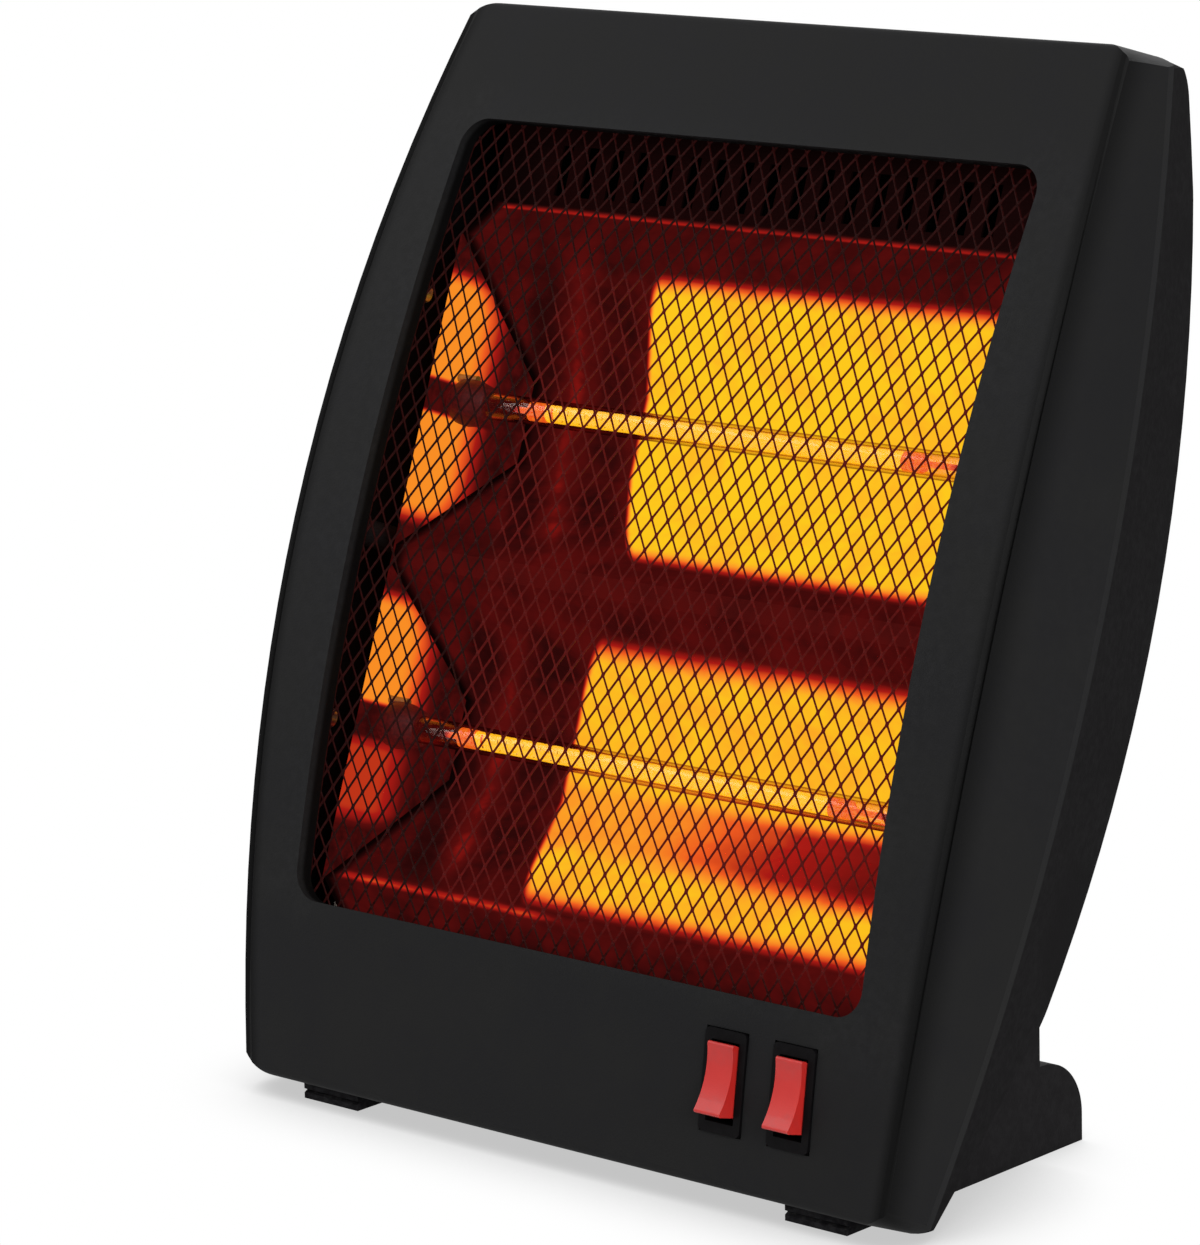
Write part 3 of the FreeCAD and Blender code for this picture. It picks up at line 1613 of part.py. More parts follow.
doc.recompute()
for item in doc.Objects:
    faults = {"Invalid", "Error"} & set(item.State)
    if faults:
        raise RuntimeError(f"{item.Label}: {item.State}")
for label, item in NODES.items():
    if item.Shape.isNull() or not item.Shape.isValid():
        raise RuntimeError(f"{label}: shape is not valid")
os.makedirs("parts", exist_ok=True)
whole = FreeCAD.BoundBox()
for label, item in NODES.items():
    item.Shape.exportStep(f"parts/{label}.step")
    whole.add(item.Shape.optimalBoundingBox())
    print(f"{label} solids {len(item.Shape.Solids)}")
print("pieces", len(NODES), "box", whole)
for label, (x, depth, level) in PLACES.items():
    place = (x, body_y(depth, level), body_z(depth, level))
    print(label, *(round(part.value, 3) for part in place))
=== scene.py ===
"""Carbon heater: finishes, guard mesh, glowing elements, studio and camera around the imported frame."""
import logging
import math
from dataclasses import dataclass
from enum import Enum
from functools import partialmethod
from typing import ClassVar, Optional, Sequence, Union

import bmesh
import bpy
from mathutils import Matrix, Vector


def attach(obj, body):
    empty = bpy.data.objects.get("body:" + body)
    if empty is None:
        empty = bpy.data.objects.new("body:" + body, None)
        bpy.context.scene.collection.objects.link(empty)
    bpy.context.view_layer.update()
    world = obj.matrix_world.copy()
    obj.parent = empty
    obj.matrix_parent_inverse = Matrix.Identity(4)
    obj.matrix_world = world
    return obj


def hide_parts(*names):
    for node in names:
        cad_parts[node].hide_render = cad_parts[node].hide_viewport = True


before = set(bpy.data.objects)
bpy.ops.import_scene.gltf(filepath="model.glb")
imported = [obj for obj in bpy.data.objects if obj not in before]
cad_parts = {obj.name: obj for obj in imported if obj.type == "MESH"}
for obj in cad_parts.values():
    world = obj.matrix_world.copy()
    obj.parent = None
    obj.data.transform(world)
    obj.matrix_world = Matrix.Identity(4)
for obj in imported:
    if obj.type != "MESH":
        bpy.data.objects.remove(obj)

LOG = logging.getLogger("heater")
MM = 0.001
PHOTO_HEIGHT = 1245
BODY = "heater"
BLACK, WHITE = (0, 0, 0, 1), (1, 1, 1, 1)
RUBBED_PLASTIC, RUBBED_METAL, DUST_TONE = "4a4a4b", "b9b7b2", "8a8782"
NOISE_RANGE = (0.3, 0.7)
MOTTLE_RANGE = (0.35, 0.68)
BRUSHED_STRETCH = (0.03, 1.0, 1.0)
# Glow colours from dark red to yellow: the carbon ribbon's own light, and painted glow on the parts that are
# no lamp.
LAMP_AND_PAINTED_GLOW_COLOURS = ((0.0, "080202"), (0.16, "2c0808"), (0.34, "560d0c"), (0.52, "a81a14"), (0.68, "ee5a20"),
                (0.84, "fc9a26"), (1.0, "fdc81c"))
CORNER_WAYS = ((1, 0), (0, 1), (-1, 0), (0, -1))
# The Mix node's sockets for colours.
MIX_SHARE, MIX_FIRST, MIX_SECOND, MIX_RESULT = 0, 6, 7, 2

Socket, Node, Tree = bpy.types.NodeSocket, bpy.types.Node, bpy.types.NodeTree
Material, Outputs = bpy.types.Material, bpy.types.NodeOutputs
Mesh, Corner = bmesh.types.BMesh, bmesh.types.BMVert
Fed = Union[Socket, float, Sequence[float], str]
# Where a change starts and ends, then the values it goes between where they aren't 0 and 1.
Ramp = tuple[float, ...]


class Grain(Enum):
    """How the skin of a finish was made, which sets the pattern of its relief."""

    SPARKED = "sparked"
    BRUSHED = "brushed"
    CAST = "cast"


@dataclass(frozen=True)
class Leaning:
    """The heater's own axes: across, depth behind the front plane, height up the leaning face, in mm."""

    lean: float = math.radians(20.5)
    front_edge_y: float = -67.8
    front_edge_z: float = 7.0
    body_height: float = 321.5
    face_bulge: float = 19.5
    crease_half: float = 118.0
    crease_bow: float = 9.6

    def point(self, across: float, depth: float, height: float) -> Vector:
        """Place a point given in the heater's own axes.

        Args:
            across: distance to the right of the middle, in mm.
            depth: distance behind the front plane, in mm.
            height: distance up the leaning face, in mm.

        Returns:
            The point in the row frame, in metres.
        """
        y = self.front_edge_y + depth * math.cos(self.lean) + height * math.sin(self.lean)
        z = self.front_edge_z - depth * math.sin(self.lean) + height * math.cos(self.lean)
        return Vector((across, y, z)) * MM

    def face(self, height: float) -> float:
        """Return the depth of the bowed front at a height, in mm."""
        half = self.body_height / 2
        return -self.face_bulge * (1 - ((height - half) / half) ** 2)


HEATER = Leaning()


def linear(code: str) -> tuple[float, float, float, float]:
    """Turn a colour as seen on a screen into the shader's linear values.

    Args:
        code: six hexadecimal digits, red, green and blue.

    Returns:
        Red, green, blue and an alpha of 1.
    """
    shown = [int(code[i:i + 2], 16) / 255 for i in (0, 2, 4)]
    red, green, blue = (c / 12.92 if c <= 0.04045 else ((c + 0.055) / 1.055) ** 2.4 for c in shown)
    return red, green, blue, 1.0


class ShaderTree:
    """A node tree with short calls for adding nodes and wiring them."""

    def __init__(self, tree: Tree) -> None:
        """Keep the tree that the calls add to."""
        self.tree = tree

    def add(self, kind: str, *given: Fed, **settings: object) -> Node:
        """Add a node.

        Args:
            kind: the node's type name.
            given: what its first inputs take, in order.
            settings: attributes to set on the node.

        Returns:
            The new node.
        """
        made = self.tree.nodes.new(kind)
        for name, value in settings.items():
            setattr(made, name, value)
        for target, value in zip(made.inputs, given):
            self.feed(target, value)
        return made

    def feed(self, target: Socket, value: Fed) -> None:
        """Wire a socket into another, or set its value when given a number, vector or colour.

        Args:
            target: the socket to feed.
            value: what it takes; a string is a colour as seen on a screen.
        """
        if isinstance(value, Socket):
            self.tree.links.new(value, target)
        else:
            target.default_value = linear(value) if isinstance(value, str) else value

    def maths(self, operation: str, first: Fed, second: Fed = 0.0) -> Socket:
        """Work out one value from two.

        Args:
            operation: the Math node's operation.
            first: the first value.
            second: the second value.

        Returns:
            The result's socket.
        """
        return self.add("ShaderNodeMath", first, second, operation=operation).outputs[0]

    # Short names for the operations used most.
    times = partialmethod(maths, "MULTIPLY")
    plus = partialmethod(maths, "ADD")
    less = partialmethod(maths, "SUBTRACT")
    most = partialmethod(maths, "MAXIMUM")
    unsigned = partialmethod(maths, "ABSOLUTE")

    def dot(self, first: Socket, second: Vector) -> Socket:
        """Measure one vector along another."""
        return self.add("ShaderNodeVectorMath", first, second, operation="DOT_PRODUCT").outputs["Value"]

    def spread(self, value: Fed, low: Fed, high: Fed, to_low: Fed = 0.0, to_high: Fed = 1.0) -> Socket:
        """Ease a value from one range to another, held at both ends.

        Args:
            value: the value to read.
            low: where the change starts.
            high: where the change ends.
            to_low: the result at and before the start.
            to_high: the result at and after the end.

        Returns:
            The result's socket.
        """
        return self.add("ShaderNodeMapRange", value, low, high, to_low, to_high,
                        interpolation_type="SMOOTHSTEP").outputs[0]

    def blend(self, share: Fed, first: Fed, second: Fed) -> Socket:
        """Mix two colours.

        Args:
            share: how much of the second colour is used.
            first: the first colour.
            second: the second colour.

        Returns:
            The mixed colour's socket.
        """
        made = self.add("ShaderNodeMix", data_type="RGBA")
        for index, given in ((MIX_SHARE, share), (MIX_FIRST, first), (MIX_SECOND, second)):
            self.feed(made.inputs[index], given)
        return made.outputs[MIX_RESULT]

    def noise(self, place: Fed, scale: Fed, detail: float, rough: float) -> Socket:
        """Read smooth noise at a place.

        Args:
            place: the coordinates.
            scale: how many lumps per unit of them.
            detail: the number of finer octaves.
            rough: how strong these are.

        Returns:
            The noise value's socket.
        """
        made = self.add("ShaderNodeTexNoise")
        for name, given in (("Vector", place), ("Scale", scale), ("Detail", detail), ("Roughness", rough)):
            self.feed(made.inputs[name], given)
        return made.outputs[0]

    def use(self, group: Tree, **given: Fed) -> Outputs:
        """Place a node group and feed its inputs.

        Args:
            group: the group's tree.
            given: values or sockets by input name, with underscores for spaces.

        Returns:
            The group's outputs.
        """
        made = self.add("ShaderNodeGroup", node_tree=group)
        for name, value in given.items():
            self.feed(made.inputs[name.replace("_", " ")], value)
        return made.outputs


class SurfaceGroups:
    """The shader node groups that several finishes share, each built once."""

    def __init__(self) -> None:
        """Build every group."""
        self.place = self._place()
        self.band = self._band()
        self.lamp_and_painted_glow = self._lamp_and_painted_glow()
        self.skins = {Grain.SPARKED: self._sparked(), Grain.BRUSHED: self._brushed(),
                      Grain.CAST: self._cast()}
        self.handling = self._handling()

    @staticmethod
    def _new(name: str, takes: dict[str, float],
             gives: dict[str, str]) -> tuple[ShaderTree, Node, Node]:
        """Start a group.

        Args:
            name: the group's name.
            takes: its number inputs and their defaults.
            gives: its outputs, each with the kind of socket.

        Returns:
            The tree, its input node and its output node.
        """
        tree = bpy.data.node_groups.new(name, "ShaderNodeTree")
        for label, value in takes.items():
            made = tree.interface.new_socket(label, in_out="INPUT", socket_type="NodeSocketFloat")
            made.default_value = value
        for label, kind in gives.items():
            tree.interface.new_socket(label, in_out="OUTPUT", socket_type=f"NodeSocket{kind}")
        shader = ShaderTree(tree)
        return shader, shader.add("NodeGroupInput"), shader.add("NodeGroupOutput")

    @staticmethod
    def _end(shader: ShaderTree, out: Node, **given: Socket) -> Tree:
        """Feed a group's outputs by name and give its tree."""
        for name, value in given.items():
            shader.feed(out.inputs[name], value)
        return shader.tree

    def _place(self) -> Tree:
        """Build the group that gives a place in the heater's own axes, in mm, and if it faces forward."""
        shader, _, out = self._new("heater_place", {}, {
            "Across": "Float", "Depth": "Float", "Height": "Float", "Place": "Vector", "Forward": "Float"})
        where = shader.add("ShaderNodeTexCoord").outputs["Object"]
        moved = shader.add("ShaderNodeVectorMath", where, HEATER.point(0, 0, 0), operation="SUBTRACT")
        sine, cosine = math.sin(HEATER.lean), math.cos(HEATER.lean)
        axes = {"Across": (1, 0, 0), "Depth": (0, cosine, -sine), "Height": (0, sine, cosine)}
        along = {label: shader.dot(moved.outputs[0], Vector(axis) / MM) for label, axis in axes.items()}
        joined = shader.add("ShaderNodeCombineXYZ", *along.values())
        normal = shader.add("ShaderNodeNewGeometry").outputs["Normal"]
        forward = shader.spread(shader.dot(normal, -Vector(axes["Depth"])), low=-0.05, high=0.05)
        return self._end(shader, out, Place=joined.outputs[0], Forward=forward, **along)

    def _band(self) -> Tree:
        """Build the group that marks a value lying between two limits, with soft ends."""
        shader, given, out = self._new(
            "soft_band", {"Value": 0.0, "Low": 0.0, "High": 1.0, "Low Ease": 1.0, "High Ease": 1.0},
            {"Mask": "Float"})
        value, low, high, low_ease, high_ease = given.outputs[:5]
        rise = shader.spread(value, shader.less(low, low_ease), shader.plus(low, low_ease))
        fall = shader.spread(value, shader.less(high, high_ease), shader.plus(high, high_ease), 1.0, 0.0)
        return self._end(shader, out, Mask=shader.times(rise, fall))

    def _lamp_and_painted_glow(self) -> Tree:
        """Build the group that turns a glow level from 0 to 1 into its colour, for the lamps' own light and
        for painted glow.
        """
        shader, given, out = self._new("lamp_and_painted_glow_colour", {"Heat": 0.0}, {"Glow": "Color"})
        ramp = shader.add("ShaderNodeValToRGB", given.outputs[0])
        stops = ramp.color_ramp.elements
        while len(stops) < len(LAMP_AND_PAINTED_GLOW_COLOURS):
            stops.new(LAMP_AND_PAINTED_GLOW_COLOURS[-1][0])
        for stop, (at, code) in zip(stops, LAMP_AND_PAINTED_GLOW_COLOURS):
            stop.position = at
            stop.color = linear(code)
        return self._end(shader, out, Glow=ramp.outputs[0])

    def _skin(self, name: str, grain: float) -> tuple[ShaderTree, Socket, Socket, Node]:
        """Start a group for the relief of a skin and the slow variation over it.

        Args:
            name: the group's name.
            grain: the usual fineness of the relief.

        Returns:
            The tree, the sockets of the place and of the grain, and the output node.
        """
        shader, given, out = self._new(name, {"Grain": grain}, {"Relief": "Float", "Variation": "Float"})
        return shader, shader.use(self.place)["Place"], given.outputs[0], out

    def _sparked(self) -> Tree:
        """Build the fine pebbled skin that a spark-eroded mould leaves on plastic."""
        shader, place, grain, out = self._skin("sparked_skin", 1.6)
        fine = shader.noise(place, grain, detail=3.0, rough=0.6)
        pebble = shader.add("ShaderNodeTexVoronoi", feature="SMOOTH_F1")
        shader.feed(pebble.inputs["Vector"], place)
        shader.feed(pebble.inputs["Scale"], grain)
        return self._end(shader, out, Relief=shader.plus(fine, pebble.outputs["Distance"]),
                         Variation=shader.noise(place, scale=0.035, detail=4.0, rough=0.6))

    def _brushed(self) -> Tree:
        """Build the long fine lines that rolling leaves on sheet metal, running across the heater."""
        shader, place, grain, out = self._skin("brushed_sheet", 2.0)
        drawn = shader.add("ShaderNodeVectorMath", place, BRUSHED_STRETCH, operation="MULTIPLY")
        return self._end(shader, out, Relief=shader.noise(drawn.outputs[0], grain, detail=3.0, rough=0.65),
                         Variation=shader.noise(place, scale=0.06, detail=3.0, rough=0.6))

    def _cast(self) -> Tree:
        """Build the slightly lumpy skin of fired ceramic, rubber and plated fasteners."""
        shader, place, grain, out = self._skin("cast_skin", 0.8)
        return self._end(shader, out, Relief=shader.noise(place, grain, detail=4.0, rough=0.55),
                         Variation=shader.noise(place, scale=0.22, detail=3.0, rough=0.55))

    def _handling(self) -> Tree:
        """Build the rubbed edges and settled dust that use leaves on a surface."""
        shader, given, out = self._new(
            "handling", {"Rub": 0.5, "Dust": 0.5}, {"Rubbed": "Float", "Dusty": "Float"})
        place = shader.use(self.place)["Place"]
        shape = shader.add("ShaderNodeNewGeometry").outputs
        edge = shader.spread(shape["Pointiness"], low=0.52, high=0.60)
        broken = shader.spread(shader.noise(place, scale=0.4, detail=4.0, rough=0.65), low=0.35, high=0.7)
        rubbed = shader.times(shader.times(edge, broken), given.outputs["Rub"])
        facing = shader.add("ShaderNodeSeparateXYZ", shape["Normal"])
        up = shader.spread(facing.outputs["Z"], low=0.55, high=1.0)
        specks = shader.spread(shader.noise(place, scale=0.9, detail=5.0, rough=0.7), low=0.45, high=0.75)
        dusty = shader.times(shader.times(up, specks), given.outputs["Dust"])
        return self._end(shader, out, Rubbed=rubbed, Dusty=dusty)


@dataclass(frozen=True)
class Band:
    """A range of a value, with soft ends."""

    low: Fed
    high: Fed
    low_ease: float = 1.0
    high_ease: float = 1.0


class MaterialTree(ShaderTree):
    """A material's node tree, with its Principled shader and the shared groups at hand."""

    def __init__(self, name: str, groups: Optional[SurfaceGroups] = None) -> None:
        """Start a material.

        Args:
            name: its name.
            groups: the shared node groups, where it uses any.
        """
        self.material = bpy.data.materials.new(name)
        self.material.use_nodes = True
        super().__init__(self.material.node_tree)
        self.groups = groups
        self.principled = self.tree.nodes["Principled BSDF"]

    def put(self, **given: Fed) -> None:
        """Feed the Principled shader's inputs by name, with underscores for spaces."""
        for name, value in given.items():
            self.feed(self.principled.inputs[name.replace("_", " ")], value)

    def within(self, band: Band, value: Socket) -> Socket:
        """Mark where a value lies in a band.

        Args:
            band: the band.
            value: the value to read.

        Returns:
            The mask's socket, from 0 to 1.
        """
        return self.use(self.groups.band, Value=value, Low=band.low, High=band.high, Low_Ease=band.low_ease,
                        High_Ease=band.high_ease)[0]

    def skin(self, kind: Grain, grain: float) -> Outputs:
        """Give the relief and the slow variation of a kind of skin."""
        return self.use(self.groups.skins[kind], Grain=grain)

    def roughen(self, noise: Socket, low: float, high: float) -> None:
        """Let the roughness follow a noise between two values."""
        self.put(Roughness=self.spread(noise, *NOISE_RANGE, low, high))

    def glow(self, lamp_and_painted_glow: Fed, strength: float = 1.0) -> None:
        """Make the surface glow at a level from 0 to 1: a lamp's own light, and painted glow on the parts
        that are no lamp.
        """
        colour = self.use(self.groups.lamp_and_painted_glow, Heat=lamp_and_painted_glow)[0]
        self.put(Emission_Color=colour, Emission_Strength=strength)

    def emboss(self, relief: Socket, depth: float) -> None:
        """Raise the surface by a relief.

        Args:
            relief: the height from 0 to 1.
            depth: the height of the relief's full range, in mm.
        """
        bump = self.add("ShaderNodeBump")
        bump.inputs["Distance"].default_value = depth * MM
        self.feed(bump.inputs["Height"], relief)
        self.put(Normal=bump.outputs[0])


@dataclass(frozen=True)
class Surface:
    """What all finishes share: a name and how they are made."""

    name: str

    def make(self, groups: SurfaceGroups) -> Material:
        """Build the material.

        Args:
            groups: the shared node groups.

        Returns:
            The new material.
        """
        shader = MaterialTree(self.name, groups)
        self.paint(shader)
        return shader.material

    def paint(self, shader: MaterialTree) -> None:
        """Lay the finish on, as each kind of finish does."""
        raise NotImplementedError


@dataclass(frozen=True)
class FrontShade:
    """The shade painted into the front's colour: darker in its recesses, on its window's walls and softly
    along its creases, in mm.
    """

    hollow_reach: float = 7.0
    hollow_samples: int = 12
    hollow: Ramp = (0.6, 0.97)
    crease: Ramp = (0.5, 5.0, 0.15, 1.0)
    wall_depth: Ramp = (1.0, 4.0)
    wall_side: Ramp = (108.0, 111.0, 1.0, 0.0)
    wall_level: Band = Band(50.0, 296.0)
    wall_share: float = 0.15

    def share(self, shader: MaterialTree, recess_shade: float) -> Socket:
        """Work out how much of the front's colour is left under the painted shade.

        Args:
            shader: the material's tree.
            recess_shade: how much of the colour painted shade takes away in the deepest hollows.

        Returns:
            The share's socket.
        """
        # Painted shade: ambient occlusion darkens the colour in hollows.
        sky = shader.add("ShaderNodeAmbientOcclusion", samples=self.hollow_samples, only_local=True)
        sky.inputs["Distance"].default_value = self.hollow_reach * MM
        hollow = shader.spread(sky.outputs["AO"], *self.hollow, 1 - recess_shade, 1.0)
        place = shader.use(shader.groups.place)
        half = HEATER.body_height / 2
        off_middle = shader.maths("DIVIDE", shader.less(place["Height"], half), half)
        squared = shader.times(off_middle, off_middle)
        aside = shader.unsigned(place["Across"])
        # Painted shade in a soft band along each crease.
        crease = shader.less(HEATER.crease_half + HEATER.crease_bow, shader.times(squared, HEATER.crease_bow))
        soft = shader.spread(shader.unsigned(shader.less(aside, crease)), *self.crease)
        # Painted shade on the window's walls, behind the face.
        face = shader.less(shader.times(squared, HEATER.face_bulge), HEATER.face_bulge)
        behind = shader.spread(shader.less(place["Depth"], face), *self.wall_depth)
        level = shader.within(self.wall_level, place["Height"])
        window = shader.times(level, shader.spread(aside, *self.wall_side))
        wall = shader.spread(shader.times(behind, window), 0.0, 1.0, 1.0, self.wall_share)
        return shader.times(wall, shader.times(hollow, soft))


@dataclass(frozen=True)
class Finish(Surface):
    """A solid finish: its colours, gloss, relief and the marks of use, and on the front, painted shade in its
    hollows and creases.
    """

    colour: str
    second: str
    roughness: float
    metallic: float = 0.0
    specular: float = 0.5
    skin: Grain = Grain.SPARKED
    grain: float = 1.6
    relief: float = 0.03
    rub: float = 0.2
    dust: float = 0.2
    coat: float = 0.0
    uneven: float = 0.02
    polish: float = 0.12
    # How much painted shade darkens the colour in hollows; 0 paints none.
    recess_shade: float = 0.0

    def paint(self, shader: MaterialTree) -> None:
        """Lay the finish on.

        Args:
            shader: the material's tree.
        """
        skin = shader.skin(self.skin, self.grain)
        marks = shader.use(shader.groups.handling, Rub=self.rub, Dust=self.dust)
        colour = shader.blend(shader.spread(skin["Variation"], *MOTTLE_RANGE), self.colour, self.second)
        colour = shader.blend(marks["Rubbed"], colour, RUBBED_METAL if self.metallic else RUBBED_PLASTIC)
        colour = shader.blend(marks["Dusty"], colour, DUST_TONE)
        # Painted shade: darker in hollows, along the creases and on the window's walls.
        if self.recess_shade:
            colour = shader.blend(FRONT_SHADE.share(shader, self.recess_shade), BLACK, colour)
        uneven = shader.spread(skin["Variation"], *NOISE_RANGE, self.roughness - self.uneven,
                               self.roughness + self.uneven)
        polished = shader.less(uneven, shader.times(marks["Rubbed"], self.polish))
        shader.put(Base_Color=colour, Roughness=polished, Metallic=self.metallic,
                   Specular_IOR_Level=self.specular, Coat_Weight=self.coat)
        shader.emboss(skin["Relief"], self.relief)


@dataclass(frozen=True)
class MirroredLamp:
    """The patch of painted reflection on the reflector that stands for one lamp's mirror image, in the
    heater's own axes, in mm.

    The patch starts further right above and below the flat floor of its trough, by a slant for each side.
    """

    lamp: float
    level: Band
    low_slant: float
    high_slant: float


@dataclass(frozen=True)
class ChamberGlow:
    """Where the lamps sit and where their painted glow lies in the chamber, in the heater's own axes, in mm.
    """

    upper: MirroredLamp = MirroredLamp(203.75, Band(166.5, 245.0, 9.0, 9.0), 1.3, 0.8)
    lower: MirroredLamp = MirroredLamp(107.25, Band(66.0, 140.0, 11.0, 13.0), 0.78, 1.1)
    flat_half: float = 12.0
    patch_left: float = -58.0
    panel_bend: float = 262.5
    lip_foot: float = 50.0
    plate_inner: float = -102.0


GLOW = ChamberGlow()


@dataclass(frozen=True)
class ReflectorFinish(Surface):
    """Bright rolled aluminium, stained by the lamps' warmth, its colours tinted dark red as painted red
    light, with painted glow where the lamps are mirrored in it; sizes in mm.
    """

    name: str = "reflector_aluminium_painted_glow"
    metal: str = "240706"
    # Painted red light: these metal colours are dark red, darker above the bend, and the edge colour tints
    # the reflections red as a painted reflection.
    red_lit_stain: str = "180504"
    red_lit_panel: str = "100606"
    edge: str = "7a120c"
    roughness: tuple[float, float] = (0.28, 0.44)
    grain: float = 1.4
    relief: float = 0.06
    stained: Ramp = (0.35, 0.65)
    panel_ease: float = 2.0
    left_ease: float = 4.0
    patch: Ramp = (0.05, 0.8)
    # Painted reflection: a red streak beside each patch, with painted shade in a dark band and a gap beside
    # it.
    streak: Band = Band(-31.0, -25.0, 3.0, 3.0)
    streak_dark: Band = Band(-47.0, -36.0, 3.0, 3.0)
    streak_gap: Band = Band(-19.0, -5.0, 3.0, 3.0)
    gap_share: float = 0.6
    streak_painted_glow: float = 0.11
    # Painted shade over the lower patch near its lamp, fading across.
    patch_painted_shade: Band = Band(82.0, 101.0, 5.0, 3.0)
    patch_painted_shade_across: Ramp = (-40.0, 75.0, 0.1, 0.6)
    lower_share: float = 0.95
    # Dim painted glow over the trough, along the bend and at the foot.
    trough: Band = Band(GLOW.lip_foot, GLOW.panel_bend, 5.0, 0.8)
    trough_painted_glow: Ramp = (0.25, 0.75, 0.18, 0.32)
    bend: Band = Band(GLOW.panel_bend - 0.6, GLOW.panel_bend + 0.9, 0.5, 0.5)
    bend_painted_glow: float = 0.34
    foot: Band = Band(60.5, 62.5, 0.8, 1.2)
    foot_painted_glow: Ramp = (-30.0, 0.0, 0.3, 0.0)
    # Painted glow fades out towards the end plates.
    plate_ease: float = 5.0
    patch_painted_glow: Ramp = (0.2, 0.8, 0.92, 1.04)

    def paint(self, shader: MaterialTree) -> None:
        """Lay the finish on.

        Args:
            shader: the material's tree.
        """
        place = shader.use(shader.groups.place)
        sheet = shader.skin(Grain.BRUSHED, self.grain)
        stained = shader.blend(shader.spread(sheet["Variation"], *self.stained), self.metal, self.red_lit_stain)
        above = shader.spread(place["Height"], GLOW.panel_bend, GLOW.panel_bend + self.panel_ease)
        # Painted red light: base colour and reflections are tinted red.
        shader.put(Base_Color=shader.blend(above, stained, self.red_lit_panel), Metallic=1.0, Specular_Tint=self.edge)
        shader.roughen(sheet["Relief"], *self.roughness)
        # Painted glow: emission stands for the lamps mirrored in the reflector, on faces turned forward only.
        lamp_and_painted_glow = self._lamp_and_painted_glow(shader, place, sheet["Variation"])
        shader.glow(shader.times(lamp_and_painted_glow, place["Forward"]))
        shader.emboss(sheet["Relief"], self.relief)

    @staticmethod
    def _from_edge(shader: MaterialTree, place: Outputs,
                   mirrored: MirroredLamp) -> Socket:
        """Measure how far right of a patch's left edge a place is.

        Args:
            shader: the material's tree.
            place: the heater's own axes.
            mirrored: where the patch is.

        Returns:
            The distance's socket, in mm.
        """
        left: Fed = GLOW.patch_left
        for way, slant in ((1, mirrored.high_slant), (-1, mirrored.low_slant)):
            off = shader.times(shader.less(place["Height"], mirrored.lamp), way)
            beyond = shader.most(shader.less(off, GLOW.flat_half), 0.0)
            left = shader.plus(shader.times(beyond, slant), left)
        return shader.less(place["Across"], left)

    def _patch(self, shader: MaterialTree, place: Outputs,
               mirrored: MirroredLamp) -> tuple[Socket, Socket]:
        """Mark the painted reflection of one lamp on the reflector, with its red rim, and the painted streak
        beside it.

        Args:
            shader: the material's tree.
            place: the heater's own axes.
            mirrored: where the patch is.

        Returns:
            The sockets of the patch's painted glow and of the streak's mask.
        """
        inward = self._from_edge(shader, place, mirrored)
        level = shader.within(mirrored.level, place["Height"])
        both = shader.times(shader.spread(inward, -self.left_ease, self.left_ease), level)
        gap = shader.times(shader.within(self.streak_gap, inward), self.gap_share)
        shaded = shader.plus(shader.within(self.streak_dark, inward), gap)
        streak = shader.less(shader.within(self.streak, inward), shaded)
        return shader.spread(both, *self.patch), shader.times(streak, level)

    def _lamp_and_painted_glow(self, shader: MaterialTree, place: Outputs, uneven: Socket) -> Socket:
        """Work out the painted glow over the reflector.

        Args:
            shader: the material's tree.
            place: the heater's own axes.
            uneven: slow noise that breaks up the glow.

        Returns:
            The painted glow's socket, from 0 to 1.
        """
        across, height = place["Across"], place["Height"]
        upper, upper_streak = self._patch(shader, place, GLOW.upper)
        lower, lower_streak = self._patch(shader, place, GLOW.lower)
        # Painted shade over the lower patch.
        fading = shader.spread(across, *self.patch_painted_shade_across)
        shade = shader.times(shader.within(self.patch_painted_shade, height), fading)
        lower = shader.less(lower, shader.times(shade, lower))
        patch = shader.most(upper, shader.times(lower, self.lower_share))
        streak = shader.plus(upper_streak, lower_streak)
        dim = shader.times(shader.within(self.trough, height), shader.spread(uneven, *self.trough_painted_glow))
        dim = shader.plus(dim, shader.times(streak, self.streak_painted_glow))
        dim = shader.plus(dim, shader.times(shader.within(self.bend, height), self.bend_painted_glow))
        foot = shader.times(shader.within(self.foot, height), shader.spread(across, *self.foot_painted_glow))
        # Painted glow fades out next to the end plates.
        clear = shader.spread(across, GLOW.plate_inner, GLOW.plate_inner + self.plate_ease)
        dim = shader.times(shader.plus(dim, foot), clear)
        return shader.most(dim, shader.times(patch, shader.spread(uneven, *self.patch_painted_glow)))


@dataclass(frozen=True)
class Lobe:
    """A stretch of an end plate given painted glow for one lamp's light: the lamp's height, the stretch in mm
    and its glow level.
    """

    lamp: float
    level: Band
    lamp_and_painted_glow: float


